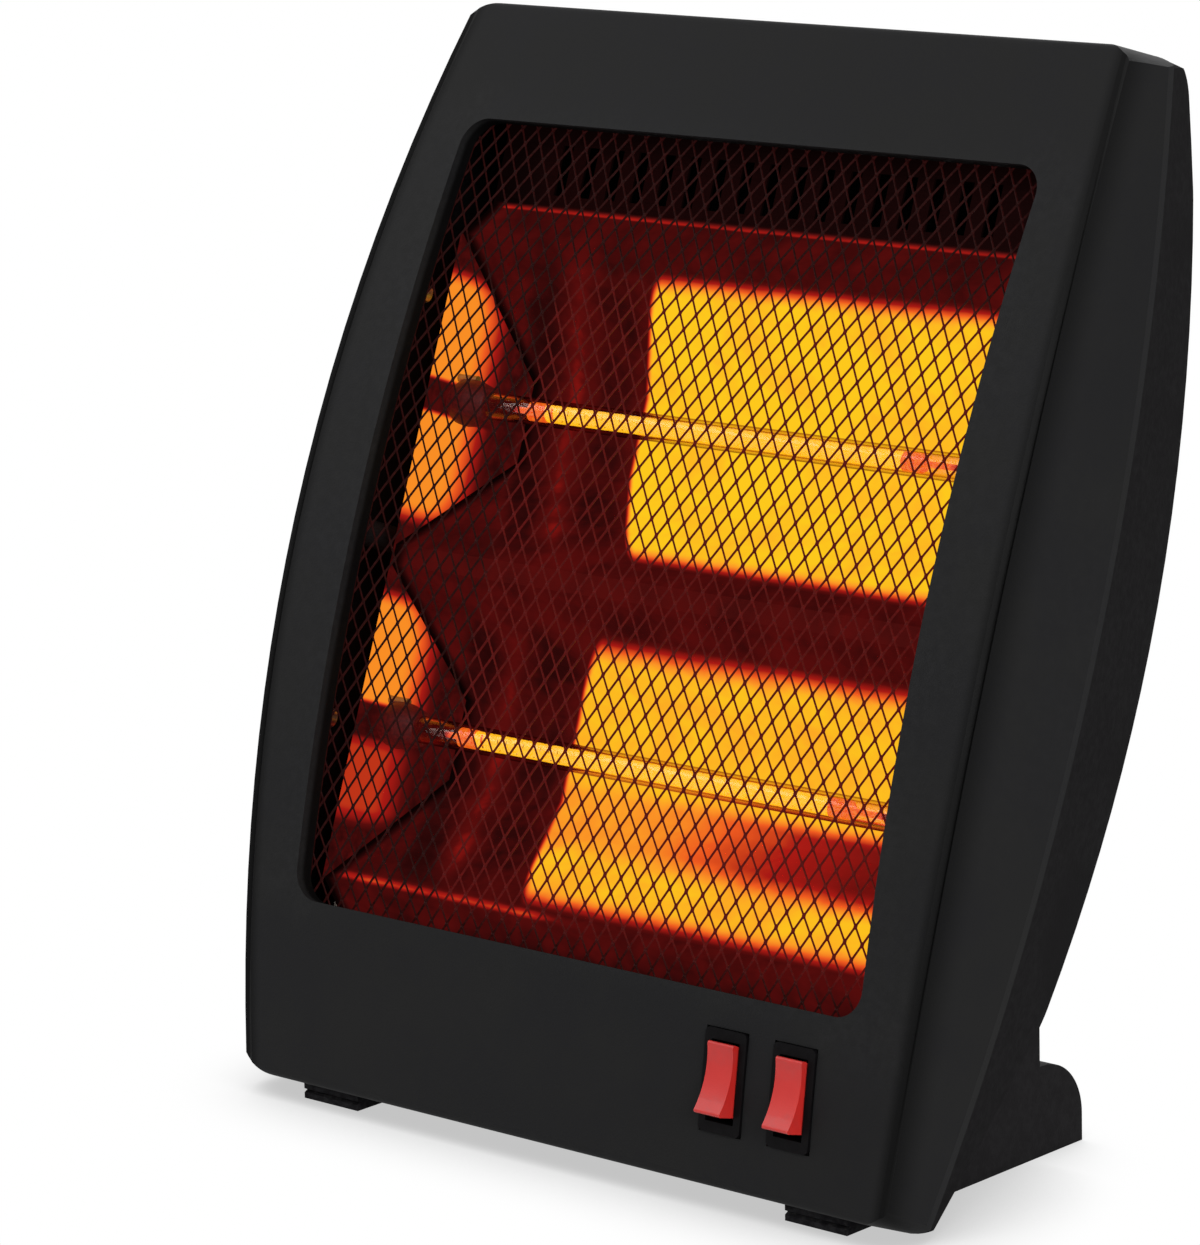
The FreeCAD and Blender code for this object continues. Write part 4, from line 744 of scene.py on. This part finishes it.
@dataclass(frozen=True)
class EndPlateFinish(Surface):
    """Plated steel of the chamber's ends, tinted dark red as painted red light, with painted glow along the
    front half beside the lamps; sizes in mm.
    """

    name: str = "end_plate_steel_painted_glow"
    # Painted red light: the metal and its stains are tinted dark red.
    metal: str = "1c0e0c"
    red_lit_stain: str = "100706"
    roughness: tuple[float, float] = (0.32, 0.48)
    grain: float = 0.5
    relief: float = 0.05
    lobes: Sequence[Lobe] = (
        Lobe(GLOW.upper.lamp, Band(166.0, 241.0, 6.0, 5.0), 0.8),
        Lobe(GLOW.lower.lamp, Band(104.0, 145.0, 6.0, 5.0), 0.8),
        Lobe(GLOW.lower.lamp, Band(76.0, 103.0, 6.0, 5.0), 0.56),
    )
    reach: Ramp = (24.0, 42.0, 25.0, 15.0)
    front: float = -10.0
    reach_ease: float = 14.0
    # Painted shadow of the lamp holders, close to each lamp's height.
    holder_painted_shadow: Ramp = (3.0, 6.0)
    dull_painted_glow: tuple[float, float] = (0.16, 0.28)

    def paint(self, shader: MaterialTree) -> None:
        """Lay the finish on.

        Args:
            shader: the material's tree.
        """
        place = shader.use(shader.groups.place)
        sheet = shader.skin(Grain.CAST, self.grain)
        shader.put(Base_Color=shader.blend(sheet["Variation"], self.metal, self.red_lit_stain), Metallic=1.0)
        shader.roughen(sheet["Variation"], *self.roughness)
        # Painted glow: a dull glow all over, and brighter stretches in front beside the lamps where their
        # light falls.
        lamp_and_painted_glow = shader.spread(sheet["Variation"], *NOISE_RANGE, *self.dull_painted_glow)
        for lobe in self.lobes:
            lamp_and_painted_glow = shader.most(lamp_and_painted_glow, self._lit(shader, place["Depth"], place["Height"], lobe))
        shader.glow(lamp_and_painted_glow)
        shader.emboss(sheet["Relief"], self.relief)

    def _lit(self, shader: MaterialTree, depth: Socket, height: Socket, lobe: Lobe) -> Socket:
        """Work out the painted glow of one stretch.

        Args:
            shader: the material's tree.
            depth: the depth behind the front plane.
            height: the height up the face.
            lobe: the stretch.

        Returns:
            The painted glow's socket, from 0 to 1.
        """
        off = shader.unsigned(shader.less(height, lobe.lamp))
        reach = Band(self.front, shader.spread(off, *self.reach), high_ease=self.reach_ease)
        level = shader.times(shader.within(lobe.level, height), shader.spread(off, *self.holder_painted_shadow))
        return shader.times(shader.times(shader.within(reach, depth), level), lobe.lamp_and_painted_glow)


@dataclass(frozen=True)
class LampAndPaintedGlowFinish(Surface):
    """A piece in or near a lamp that glows along its length, brightest between two places across, in mm: the
    carbon ribbon's own light, and painted glow from the lamps on the guard, holders and plugs.
    """

    colour: str
    roughness: float
    metallic: float
    least_glow: float
    most_glow: float
    start: float
    finish: float
    strength: float = 1.0
    second: str = "1a0f0c"
    specular: float = 0.5
    foot: float = 0.0
    top: float = 400.0
    across_ease: float = 4.0
    level_ease: float = 8.0
    uneven: float = 0.06
    fleck: float = 0.05
    grain: float = 1.1
    relief: float = 0.04

    def paint(self, shader: MaterialTree) -> None:
        """Lay the finish on.

        Args:
            shader: the material's tree.
        """
        place = shader.use(shader.groups.place)
        skin = shader.skin(Grain.CAST, self.grain)
        shader.put(Base_Color=shader.blend(skin["Variation"], self.colour, self.second),
                   Metallic=self.metallic, Specular_IOR_Level=self.specular)
        shader.roughen(skin["Variation"], self.roughness - self.uneven, self.roughness + self.uneven)
        # The glow: the carbon ribbon's own light; on the guard, holders and plugs it is painted glow from the
        # lamps.
        along = Band(self.start, self.finish, self.across_ease, self.across_ease)
        level = Band(self.foot, self.top, self.level_ease, self.level_ease)
        lit = shader.times(shader.within(along, place["Across"]), shader.within(level, place["Height"]))
        fleck = shader.spread(skin["Relief"], *NOISE_RANGE, -self.fleck, self.fleck)
        shader.glow(shader.plus(shader.spread(lit, 0.0, 1.0, self.least_glow, self.most_glow), fleck), self.strength)
        shader.emboss(skin["Relief"], self.relief)


@dataclass(frozen=True)
class QuartzFinish(Surface):
    """Clear drawn quartz with faint draw lines, with a painted red reflection where its wall is seen edge on.
    """

    name: str = "quartz_clear"
    tint: str = "fff1e6"
    streak: str = "ffe2d2"
    # Painted reflection: the dark red that the wall shows edge on.
    wall: str = "5c0d08"
    edge_on: Ramp = (0.4, 0.75)
    facing_blend: float = 0.5
    roughest: float = 0.05
    bending: float = 1.3
    grain: float = 0.7
    relief: float = 0.02

    def paint(self, shader: MaterialTree) -> None:
        """Lay the finish on.

        Args:
            shader: the material's tree.
        """
        drawn = shader.skin(Grain.BRUSHED, self.grain)
        clear = shader.blend(drawn["Variation"], self.tint, self.streak)
        facing = shader.add("ShaderNodeLayerWeight")
        facing.inputs["Blend"].default_value = self.facing_blend
        # Painted reflection: dark red where the wall is seen edge on.
        wall = shader.spread(facing.outputs["Facing"], *self.edge_on)
        shader.put(Base_Color=shader.blend(wall, clear, self.wall), Transmission_Weight=1.0, IOR=self.bending)
        shader.roughen(drawn["Relief"], 0.0, self.roughest)
        shader.emboss(drawn["Relief"], self.relief)


FRONT_SHADE = FrontShade()


class Workshop:
    """Holds the shared groups and the finishes that have been made, and gives them to pieces."""

    def __init__(self) -> None:
        """Build the groups, with no finish made yet."""
        self.groups = SurfaceGroups()
        self.made: dict[str, Material] = {}

    def dress(self, piece: bpy.types.Object, finish: Surface) -> None:
        """Give a piece one finish all over.

        Args:
            piece: a CAD node's object or a new piece.
            finish: the finish, made when it is first used.
        """
        if finish.name not in self.made:
            self.made[finish.name] = finish.make(self.groups)
        piece.data.materials.clear()
        piece.data.materials.append(self.made[finish.name])
        LOG.info("%s: %s", piece.name, finish.name)


def new_piece(name: str, mesh: Mesh) -> bpy.types.Object:
    """Turn a built mesh into a piece that rides on the heater's body.

    Args:
        name: the piece's name.
        mesh: the built mesh, which is freed.

    Returns:
        The new object.
    """
    data = bpy.data.meshes.new(name)
    mesh.to_mesh(data)
    mesh.free()
    piece = bpy.data.objects.new(name, data)
    bpy.context.scene.collection.objects.link(piece)
    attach(piece, BODY)
    return piece


def quads(mesh: Mesh, first: Sequence[Corner], second: Sequence[Corner], smooth: bool) -> None:
    """Join two rows of corners with four-sided faces.

    Args:
        mesh: the mesh that the corners are in.
        first: the first row.
        second: the second row, as long as the first.
        smooth: whether the faces are shaded as one surface.
    """
    for i in range(len(first) - 1):
        mesh.faces.new((first[i], second[i], second[i + 1], first[i + 1])).smooth = smooth


def give_thickness(piece: bpy.types.Object, thickness: float) -> None:
    """Make a sheet solid, growing it evenly to both sides.

    Args:
        piece: the sheet.
        thickness: in mm.
    """
    solid = piece.modifiers.new("sheet thickness", "SOLIDIFY")
    solid.thickness = thickness * MM
    solid.offset = 0.0
    solid.use_even_offset = False


# The front's colour carries painted shade in its hollows, creases and window walls.
FRONT_PLASTIC = Finish("front_plastic_charcoal", "171718", "191919", 0.55, specular=0.065, grain=1.7,
                       rub=0.05, dust=0.0, recess_shade=0.75)
REAR_PLASTIC = Finish("rear_plastic_black", "0b0a0b", "0d0c0d", 0.6, specular=0.008, grain=1.7,
                      rub=0.05, dust=0.03)
LEG_PLASTIC = Finish("leg_plastic_black", "121112", "151415", 0.55, specular=0.03, grain=1.5,
                     rub=0.05, dust=0.03)
TOE_RUBBER = Finish("toe_rubber_black", "100f11", "161517", 0.66, specular=0.02, skin=Grain.CAST,
                    relief=0.05, dust=0.1)
SWITCH_PLASTIC = Finish("switch_plastic_black", "080708", "0a090a", 0.42, specular=0.04, grain=2.2,
                        relief=0.012, rub=0.02, dust=0.0)
ROCKER_RED = Finish("rocker_plastic_red", "b0211d", "b82823", 0.34, specular=0.3, grain=2.6,
                    relief=0.012, rub=0.1, dust=0.05, coat=0.15)
SCREW_STEEL = Finish("screw_steel_plated", "8f8d88", "a3a19b", 0.34, 1.0, skin=Grain.CAST, grain=1.4)
TAG_BRASS = Finish("tag_brass_tinned", "b39a63", "9d8450", 0.36, 1.0, skin=Grain.CAST, relief=0.02)
BLADE_BRASS = Finish("blade_brass", "b8964f", "a3823f", 0.3, 1.0, skin=Grain.BRUSHED, relief=0.02)
BLOCK_PLASTIC = Finish("block_plastic_ivory", "c9c2b0", "bdb5a1", 0.45, grain=2.0, relief=0.015)
GLAND_RUBBER = Finish("gland_rubber_black", "151516", "1c1c1d", 0.62, specular=0.3, skin=Grain.CAST,
                      relief=0.04)
WIRE_SLEEVE = Finish("wire_sleeve_white", "d7d2c6", "c6c0b2", 0.6, skin=Grain.CAST, grain=2.5, relief=0.06)
TILT_PLASTIC = Finish("tilt_plastic_grey", "3a3a3c", "444446", 0.45, grain=2.0, relief=0.015)
WEIGHT_STEEL = Finish("tilt_weight_steel", "7d7b77", "93918c", 0.3, 1.0, skin=Grain.BRUSHED, relief=0.02)
# The guard, holders and plugs carry painted glow, the lamps' light on them; the carbon ribbon is the lamp
# itself.
GUARD_PAINT = LampAndPaintedGlowFinish("guard_steel_baked_painted_glow", "120706", 0.5, 0.0, 0.08, 0.3, -56.0, 108.0,
                        second="0c0504", specular=0.03, foot=58.0, top=244.0)
CERAMIC = LampAndPaintedGlowFinish("holder_ceramic_painted_glow", "120504", 0.45, 0.0, 0.24, 0.34, -60.0, 60.0,
                    second="0a0302", specular=0.1)
PLUG_STEEL = LampAndPaintedGlowFinish("plug_steel_painted_glow", "280c08", 0.35, 1.0, 0.2, 0.72, -78.0, 84.0)
CARBON = LampAndPaintedGlowFinish("carbon_ribbon_glowing", "3a2a20", 0.6, 0.0, 0.55, 1.0, -68.0, 68.0, 1.15)
REFLECTOR = ReflectorFinish()
END_PLATE = EndPlateFinish()
QUARTZ = QuartzFinish()


@dataclass
class SubAssembly:
    """Pieces that belong together, with the finish of each CAD node among them that is kept."""

    shop: Workshop
    coats: ClassVar[Sequence[tuple[Surface, str]]] = ()

    def dress(self) -> None:
        """Give the CAD nodes their finishes."""
        for finish, nodes in self.coats:
            for name in nodes.split():
                self.shop.dress(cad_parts[name], finish)


class Casing(SubAssembly):
    """The front and rear housings, their screws and the cord's gland."""

    coats = ((FRONT_PLASTIC, "front_housing"), (REAR_PLASTIC, "rear_housing"), (SCREW_STEEL, "case_screws"),
             (GLAND_RUBBER, "cord_gland"))


@dataclass
class Guard(SubAssembly):
    """The expanded steel mesh behind the window, in mm: the sheet, its rim and its diamonds."""

    coats = ((SCREW_STEEL, "guard_screws"),)
    half_width: float = 112.0
    low: float = 45.0
    high: float = 292.0
    rim: float = 6.6
    behind_face: float = 6.6
    across_pitch: float = 5.94
    up_pitch: float = 9.02
    strand: float = 0.45
    twist: float = 0.16
    tip_share: float = 0.09
    thickness: float = 0.4
    rim_steps: int = 44
    weld: float = 0.01
    cut_slack: float = 1e-4

    def build(self) -> None:
        """Build and dress the mesh with its rim, standing for the CAD guard."""
        mesh = bmesh.new()
        self._diamonds(mesh)
        self._trim(mesh)
        self._rim(mesh)
        bmesh.ops.remove_doubles(mesh, verts=mesh.verts, dist=self.weld)
        for corner in mesh.verts:
            across, lift, height = corner.co
            corner.co = HEATER.point(across, HEATER.face(height) + self.behind_face + lift, height)
        piece = new_piece("guard_mesh", mesh)
        give_thickness(piece, self.thickness)
        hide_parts("guard_grille")
        self.shop.dress(piece, GUARD_PAINT)
        self.dress()

    def _diamonds(self, mesh: Mesh) -> None:
        """Lay the strands round every diamond, flat, with the sheet's depth on the second axis.

        Args:
            mesh: the mesh to add to.
        """
        half_across, half_up = self.across_pitch / 2, self.up_pitch / 2
        slant = math.hypot(half_across, half_up)
        inset_across = self.strand / 2 * slant / half_up
        inset_up = self.strand / 2 * slant / half_across
        rows = int((self.high - self.low) / half_up) + 2
        columns = int(self.half_width / self.across_pitch) + 2
        for row in range(rows):
            shift = half_across if row % 2 else 0.0
            height = self.low + row * half_up
            for column in range(-columns, columns + 1):
                middle = column * self.across_pitch + shift
                outer, tips = ([Vector((middle + a * wide, 0.0, height + u * tall)) for a, u in CORNER_WAYS]
                               for wide, tall in ((half_across, half_up),
                                                  (half_across - inset_across, half_up - inset_up)))
                self._one_diamond(mesh, outer, tips)

    def _one_diamond(self, mesh: Mesh, outer: Sequence[Vector], tips: Sequence[Vector]) -> None:
        """Lay the four strands of a diamond, with its opening's corners cut and its edges twisted.

        Args:
            mesh: the mesh to add to.
            outer: the corners of the diamond, counter-clockwise from the right.
            tips: the corners of its opening.
        """
        rim = [mesh.verts.new(corner) for corner in outer]
        inner = []
        for index, tip in enumerate(tips):
            before, after = tips[index - 1], tips[(index + 1) % len(tips)]
            pair = []
            for other in (before, after):
                at = tip.lerp(other, self.tip_share)
                side = 1 if index == 1 or (index in (0, 2) and other is tips[1]) else -1
                at.y = self.twist * side
                pair.append(mesh.verts.new(at))
            inner.append(pair)
        for index in range(len(rim)):
            following = (index + 1) % len(rim)
            mesh.faces.new((rim[index], rim[following], inner[following][0], inner[index][1]))
            mesh.faces.new((rim[index], inner[index][1], inner[index][0]))

    def _trim(self, mesh: Mesh) -> None:
        """Cut the strands off where the rim begins.

        Args:
            mesh: the mesh of strands.
        """
        side, foot, top = self.half_width - self.rim, self.low + self.rim, self.high - self.rim
        for place, out in (((side, 0, 0), (1, 0, 0)), ((-side, 0, 0), (-1, 0, 0)),
                           ((0, 0, top), (0, 0, 1)), ((0, 0, foot), (0, 0, -1))):
            every = list(mesh.verts) + list(mesh.edges) + list(mesh.faces)
            bmesh.ops.bisect_plane(mesh, geom=every, dist=self.cut_slack, plane_co=place, plane_no=out,
                                   clear_outer=True)

    def _rim(self, mesh: Mesh) -> None:
        """Lay the flat rim round the strands.

        Args:
            mesh: the mesh to add to.
        """
        side, wide = self.half_width - self.rim, self.half_width
        heights = [self.low + (self.high - self.low) * i / self.rim_steps
                   for i in range(self.rim_steps + 1)]
        strips = [(side, wide, heights), (-side, -wide, heights)]
        for edge in (self.low, self.high - self.rim):
            strips.append((-side, side, [edge, edge + self.rim / 2, edge + self.rim]))
        for first, second, levels in strips:
            rows = ([mesh.verts.new((across, 0.0, level)) for level in levels] for across in (first, second))
            quads(mesh, *rows, smooth=False)


@dataclass
class CarbonLamp:
    """One quartz lamp: a glowing carbon ribbon wound in a tube, and its two holders, in mm."""

    shop: Workshop
    label: str
    height: float
    depth: float = 10.0
    reach: float = 66.0
    radius: float = 2.42
    turns: int = 40
    ribbon: float = 2.2
    thickness: float = 0.3
    steps_per_turn: int = 28
    plate: float = 102.9
    pear: Sequence[tuple[float, float]] = (
        (0.0, 3.2), (1.0, 5.2), (3.0, 6.5), (6.0, 7.0), (9.0, 6.7), (12.0, 5.8), (14.0, 5.3),
        (14.6, 4.7))

    def build(self) -> None:
        """Build the ribbon, standing for the CAD coil, and dress the lamp."""
        mesh = bmesh.new()
        count = self.turns * self.steps_per_turn
        edges: tuple[list[Corner], list[Corner]] = ([], [])
        for step in range(count + 1):
            angle = 2 * math.pi * step / self.steps_per_turn
            middle = -self.reach + 2 * self.reach * step / count
            depth = self.depth + self.radius * math.cos(angle)
            height = self.height + self.radius * math.sin(angle)
            for edge, side in zip(edges, (-1, 1)):
                edge.append(mesh.verts.new(HEATER.point(middle + side * self.ribbon / 2, depth, height)))
        quads(mesh, *edges, smooth=True)
        piece = new_piece(f"{self.label}_carbon_ribbon", mesh)
        give_thickness(piece, self.thickness)
        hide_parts(f"{self.label}_heating_coil")
        self.shop.dress(piece, CARBON)
        self.shop.dress(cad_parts[f"{self.label}_quartz_tube"], QUARTZ)
        for side in ("left", "right"):
            self._holder(side)

    def _holder(self, side: str) -> None:
        """Turn the pear-shaped ceramic that holds one end of the tube, standing for the CAD holder.

        Args:
            side: which end, left or right.
        """
        way = 1 if side == "left" else -1
        mesh = bmesh.new()
        rings = []
        for along, radius in self.pear:
            ring = []
            for step in range(self.steps_per_turn):
                angle = way * 2 * math.pi * step / self.steps_per_turn
                ring.append(mesh.verts.new(HEATER.point(
                    way * (along - self.plate), self.depth + radius * math.cos(angle),
                    self.height + radius * math.sin(angle))))
            rings.append(ring)
        for before, after in zip(rings, rings[1:]):
            quads(mesh, before + before[:1], after + after[:1], smooth=True)
        mesh.faces.new(rings[0])
        mesh.faces.new(tuple(reversed(rings[-1])))
        piece = new_piece(f"{self.label}_{side}_ceramic", mesh)
        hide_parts(f"{self.label}_{side}_lamp_holder")
        self.shop.dress(piece, CERAMIC)


class HeatChamber(SubAssembly):
    """The reflector, its end plates, the lamps in it and their fastenings."""

    coats = ((REFLECTOR, "reflector"), (END_PLATE, "left_end_plate right_end_plate"),
             (PLUG_STEEL, "coil_end_plugs"), (SCREW_STEEL, "holder_screws reflector_screws"),
             (TAG_BRASS, "lamp_tags"))

    def build(self) -> None:
        """Dress the chamber and build both lamps."""
        self.dress()
        for label, height in (("upper", GLOW.upper.lamp), ("lower", GLOW.lower.lamp)):
            CarbonLamp(self.shop, label, height).build()


class Switches(SubAssembly):
    """The two rocker switches at the foot of the front."""

    coats = ((SWITCH_PLASTIC, "left_switch_case right_switch_case"), (ROCKER_RED, "left_rocker right_rocker"),
             (BLADE_BRASS, "switch_blades"))


class Wiring(SubAssembly):
    """The supply inside the rear housing and the tilt cut-out."""

    coats = ((BLOCK_PLASTIC, "terminal_block"), (WIRE_SLEEVE, "lamp_wires supply_wires"),
             (SCREW_STEEL, "block_screw tilt_screw"), (TILT_PLASTIC, "tilt_case"),
             (WEIGHT_STEEL, "tilt_pendulum"))


class Stand(SubAssembly):
    """The two legs under the heater, their screws and the rubber toes."""

    coats = ((LEG_PLASTIC, "left_leg right_leg"), (SCREW_STEEL, "leg_screws"),
             (TOE_RUBBER, "left_toe_pad right_toe_pad"))


@dataclass
class Studio:
    """The floor, soft light and camera."""

    floor_side: float = 14.0
    floor_roughness: float = 0.9
    floor_pale: Sequence[float] = (0.9, 0.9, 0.9, 1)
    floor_dim: Sequence[float] = (0.1, 0.1, 0.1, 1)
    pale_radius: float = 0.3
    dim_radius: float = 0.65
    # The floor's painted contact shadow, from ambient occlusion: where it starts and ends, and how dark it
    # gets.
    shadow: Ramp = (0.2, 0.92, 0.55, 1.0)
    shadow_reach: float = 0.05
    shadow_samples: int = 24
    soft_light: float = 0.24
    aim: tuple[float, float, float] = (0, 0, 0.15)
    camera_at: tuple[float, float, float] = (0.9731, -1.1211, 0.4710)
    azimuth: float = math.radians(42.01)
    pitch: float = math.radians(12.423)
    roll: float = math.radians(-1.52)
    focal_pixels: float = 5405.6
    sensor: float = 24.0
    lamps: Sequence[tuple[str, tuple[float, float, float], float, float]] = (
        ("key_softbox", (0.2, -1.9, 2.1), 1.8, 23.0),
        ("left_softbox", (-2.1, -0.9, 1.4), 1.6, 18.0),
        ("right_softbox", (2.2, -1.1, 1.1), 1.4, 58.0),
        ("back_softbox", (-0.6, 2.2, 2.4), 1.8, 42.0),
    )

    def build(self) -> None:
        """Set the whole stage up."""
        scene = bpy.context.scene
        scene.view_settings.view_transform = "Standard"
        self._floor()
        self._world(scene)
        for name, at, side, power in self.lamps:
            self._lamp(name, Vector(at), side, power)
        scene.camera = self._camera()

    def _floor(self) -> None:
        """Lay a floor that the camera sees white, with a painted contact shadow near the heater; to other
        rays it is pale near the heater and dark further out.
        """
        mesh = bmesh.new()
        bmesh.ops.create_grid(mesh, x_segments=2, y_segments=2, size=self.floor_side / 2)
        data = bpy.data.meshes.new("studio_floor")
        mesh.to_mesh(data)
        mesh.free()
        floor = bpy.data.objects.new("studio_floor", data)
        bpy.context.scene.collection.objects.link(floor)
        shader = MaterialTree("studio_floor_pale")
        where = shader.add("ShaderNodeTexCoord").outputs["Object"]
        away = shader.add("ShaderNodeVectorMath", where, operation="LENGTH").outputs["Value"]
        dimming = shader.spread(away, self.pale_radius, self.dim_radius)
        shader.put(Base_Color=shader.blend(dimming, self.floor_pale, self.floor_dim),
                   Roughness=self.floor_roughness, Specular_IOR_Level=0.0)
        # Painted shadow: for the rays that show the background the floor is white, dimmed by ambient
        # occlusion near the heater.
        open_sky = shader.add("ShaderNodeAmbientOcclusion", samples=self.shadow_samples)
        open_sky.inputs["Distance"].default_value = self.shadow_reach
        white = shader.add("ShaderNodeEmission")
        shader.feed(white.inputs["Strength"], shader.spread(open_sky.outputs["AO"], *self.shadow))
        self._show(shader, shader.principled, white, "Material Output")
        floor.data.materials.append(shader.material)

    @staticmethod
    def _show(shader: ShaderTree, lit: Node, shown: Node, output: str) -> None:
        """Use one shader for the rays that show the background, straight, mirrored or through glass.

        Args:
            shader: the tree.
            lit: the shader that all other rays meet.
            shown: the shader that those rays meet.
            output: the name of the tree's output node.
        """
        path = shader.add("ShaderNodeLightPath").outputs
        bent = shader.most(path["Is Glossy Ray"], path["Is Transmission Ray"])
        seen = shader.most(path["Is Camera Ray"], bent)
        mix = shader.add("ShaderNodeMixShader", seen, lit.outputs[0], shown.outputs[0])
        shader.feed(shader.tree.nodes[output].inputs["Surface"], mix.outputs[0])

    def _world(self, scene: bpy.types.Scene) -> None:
        """Light the scene softly from all round, with a white background.

        Args:
            scene: the scene.
        """
        world = bpy.data.worlds.new("studio_light")
        world.use_nodes = True
        scene.world = world
        shader = ShaderTree(world.node_tree)
        soft, white = world.node_tree.nodes["Background"], shader.add("ShaderNodeBackground")
        for light, strength in ((soft, self.soft_light), (white, 1.0)):
            shader.feed(light.inputs["Color"], WHITE)
            shader.feed(light.inputs["Strength"], strength)
        self._show(shader, soft, white, "World Output")

    def _lamp(self, name: str, at: Vector, side: float, power: float) -> None:
        """Hang a square softbox that faces the heater.

        Args:
            name: the lamp's name.
            at: its place, in metres.
            side: its side, in metres.
            power: in watts.
        """
        data = bpy.data.lights.new(name, "AREA")
        data.size = side
        data.energy = power
        lamp = bpy.data.objects.new(name, data)
        lamp.location = at
        lamp.rotation_euler = (Vector(self.aim) - at).to_track_quat("-Z", "Y").to_euler()
        bpy.context.scene.collection.objects.link(lamp)

    def _camera(self) -> bpy.types.Object:
        """Set the camera where the photograph was taken from.

        Returns:
            The camera.
        """
        data = bpy.data.cameras.new("photo_camera")
        data.sensor_fit = "VERTICAL"
        data.sensor_height = self.sensor
        data.lens = self.focal_pixels * self.sensor / PHOTO_HEIGHT
        ahead = Vector((-math.sin(self.azimuth) * math.cos(self.pitch),
                        math.cos(self.azimuth) * math.cos(self.pitch), -math.sin(self.pitch)))
        level = Vector((math.cos(self.azimuth), math.sin(self.azimuth), 0))
        upright = level.cross(ahead)
        right = math.cos(self.roll) * level + math.sin(self.roll) * upright
        upward = math.cos(self.roll) * upright - math.sin(self.roll) * level
        camera = bpy.data.objects.new("photo_camera", data)
        turned = Matrix((right, upward, -ahead)).transposed().to_4x4()
        camera.matrix_world = Matrix.Translation(self.camera_at) @ turned
        bpy.context.scene.collection.objects.link(camera)
        return camera


def main() -> None:
    """Build the heater's pieces in order, then the studio."""
    logging.basicConfig(level=logging.INFO, format="%(name)s %(message)s")
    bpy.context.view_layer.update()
    shop = Workshop()
    Casing(shop).dress()
    Guard(shop).build()
    HeatChamber(shop).build()
    Switches(shop).dress()
    Wiring(shop).dress()
    Stand(shop).dress()
    Studio().build()


if __name__ == "__main__":
    main()
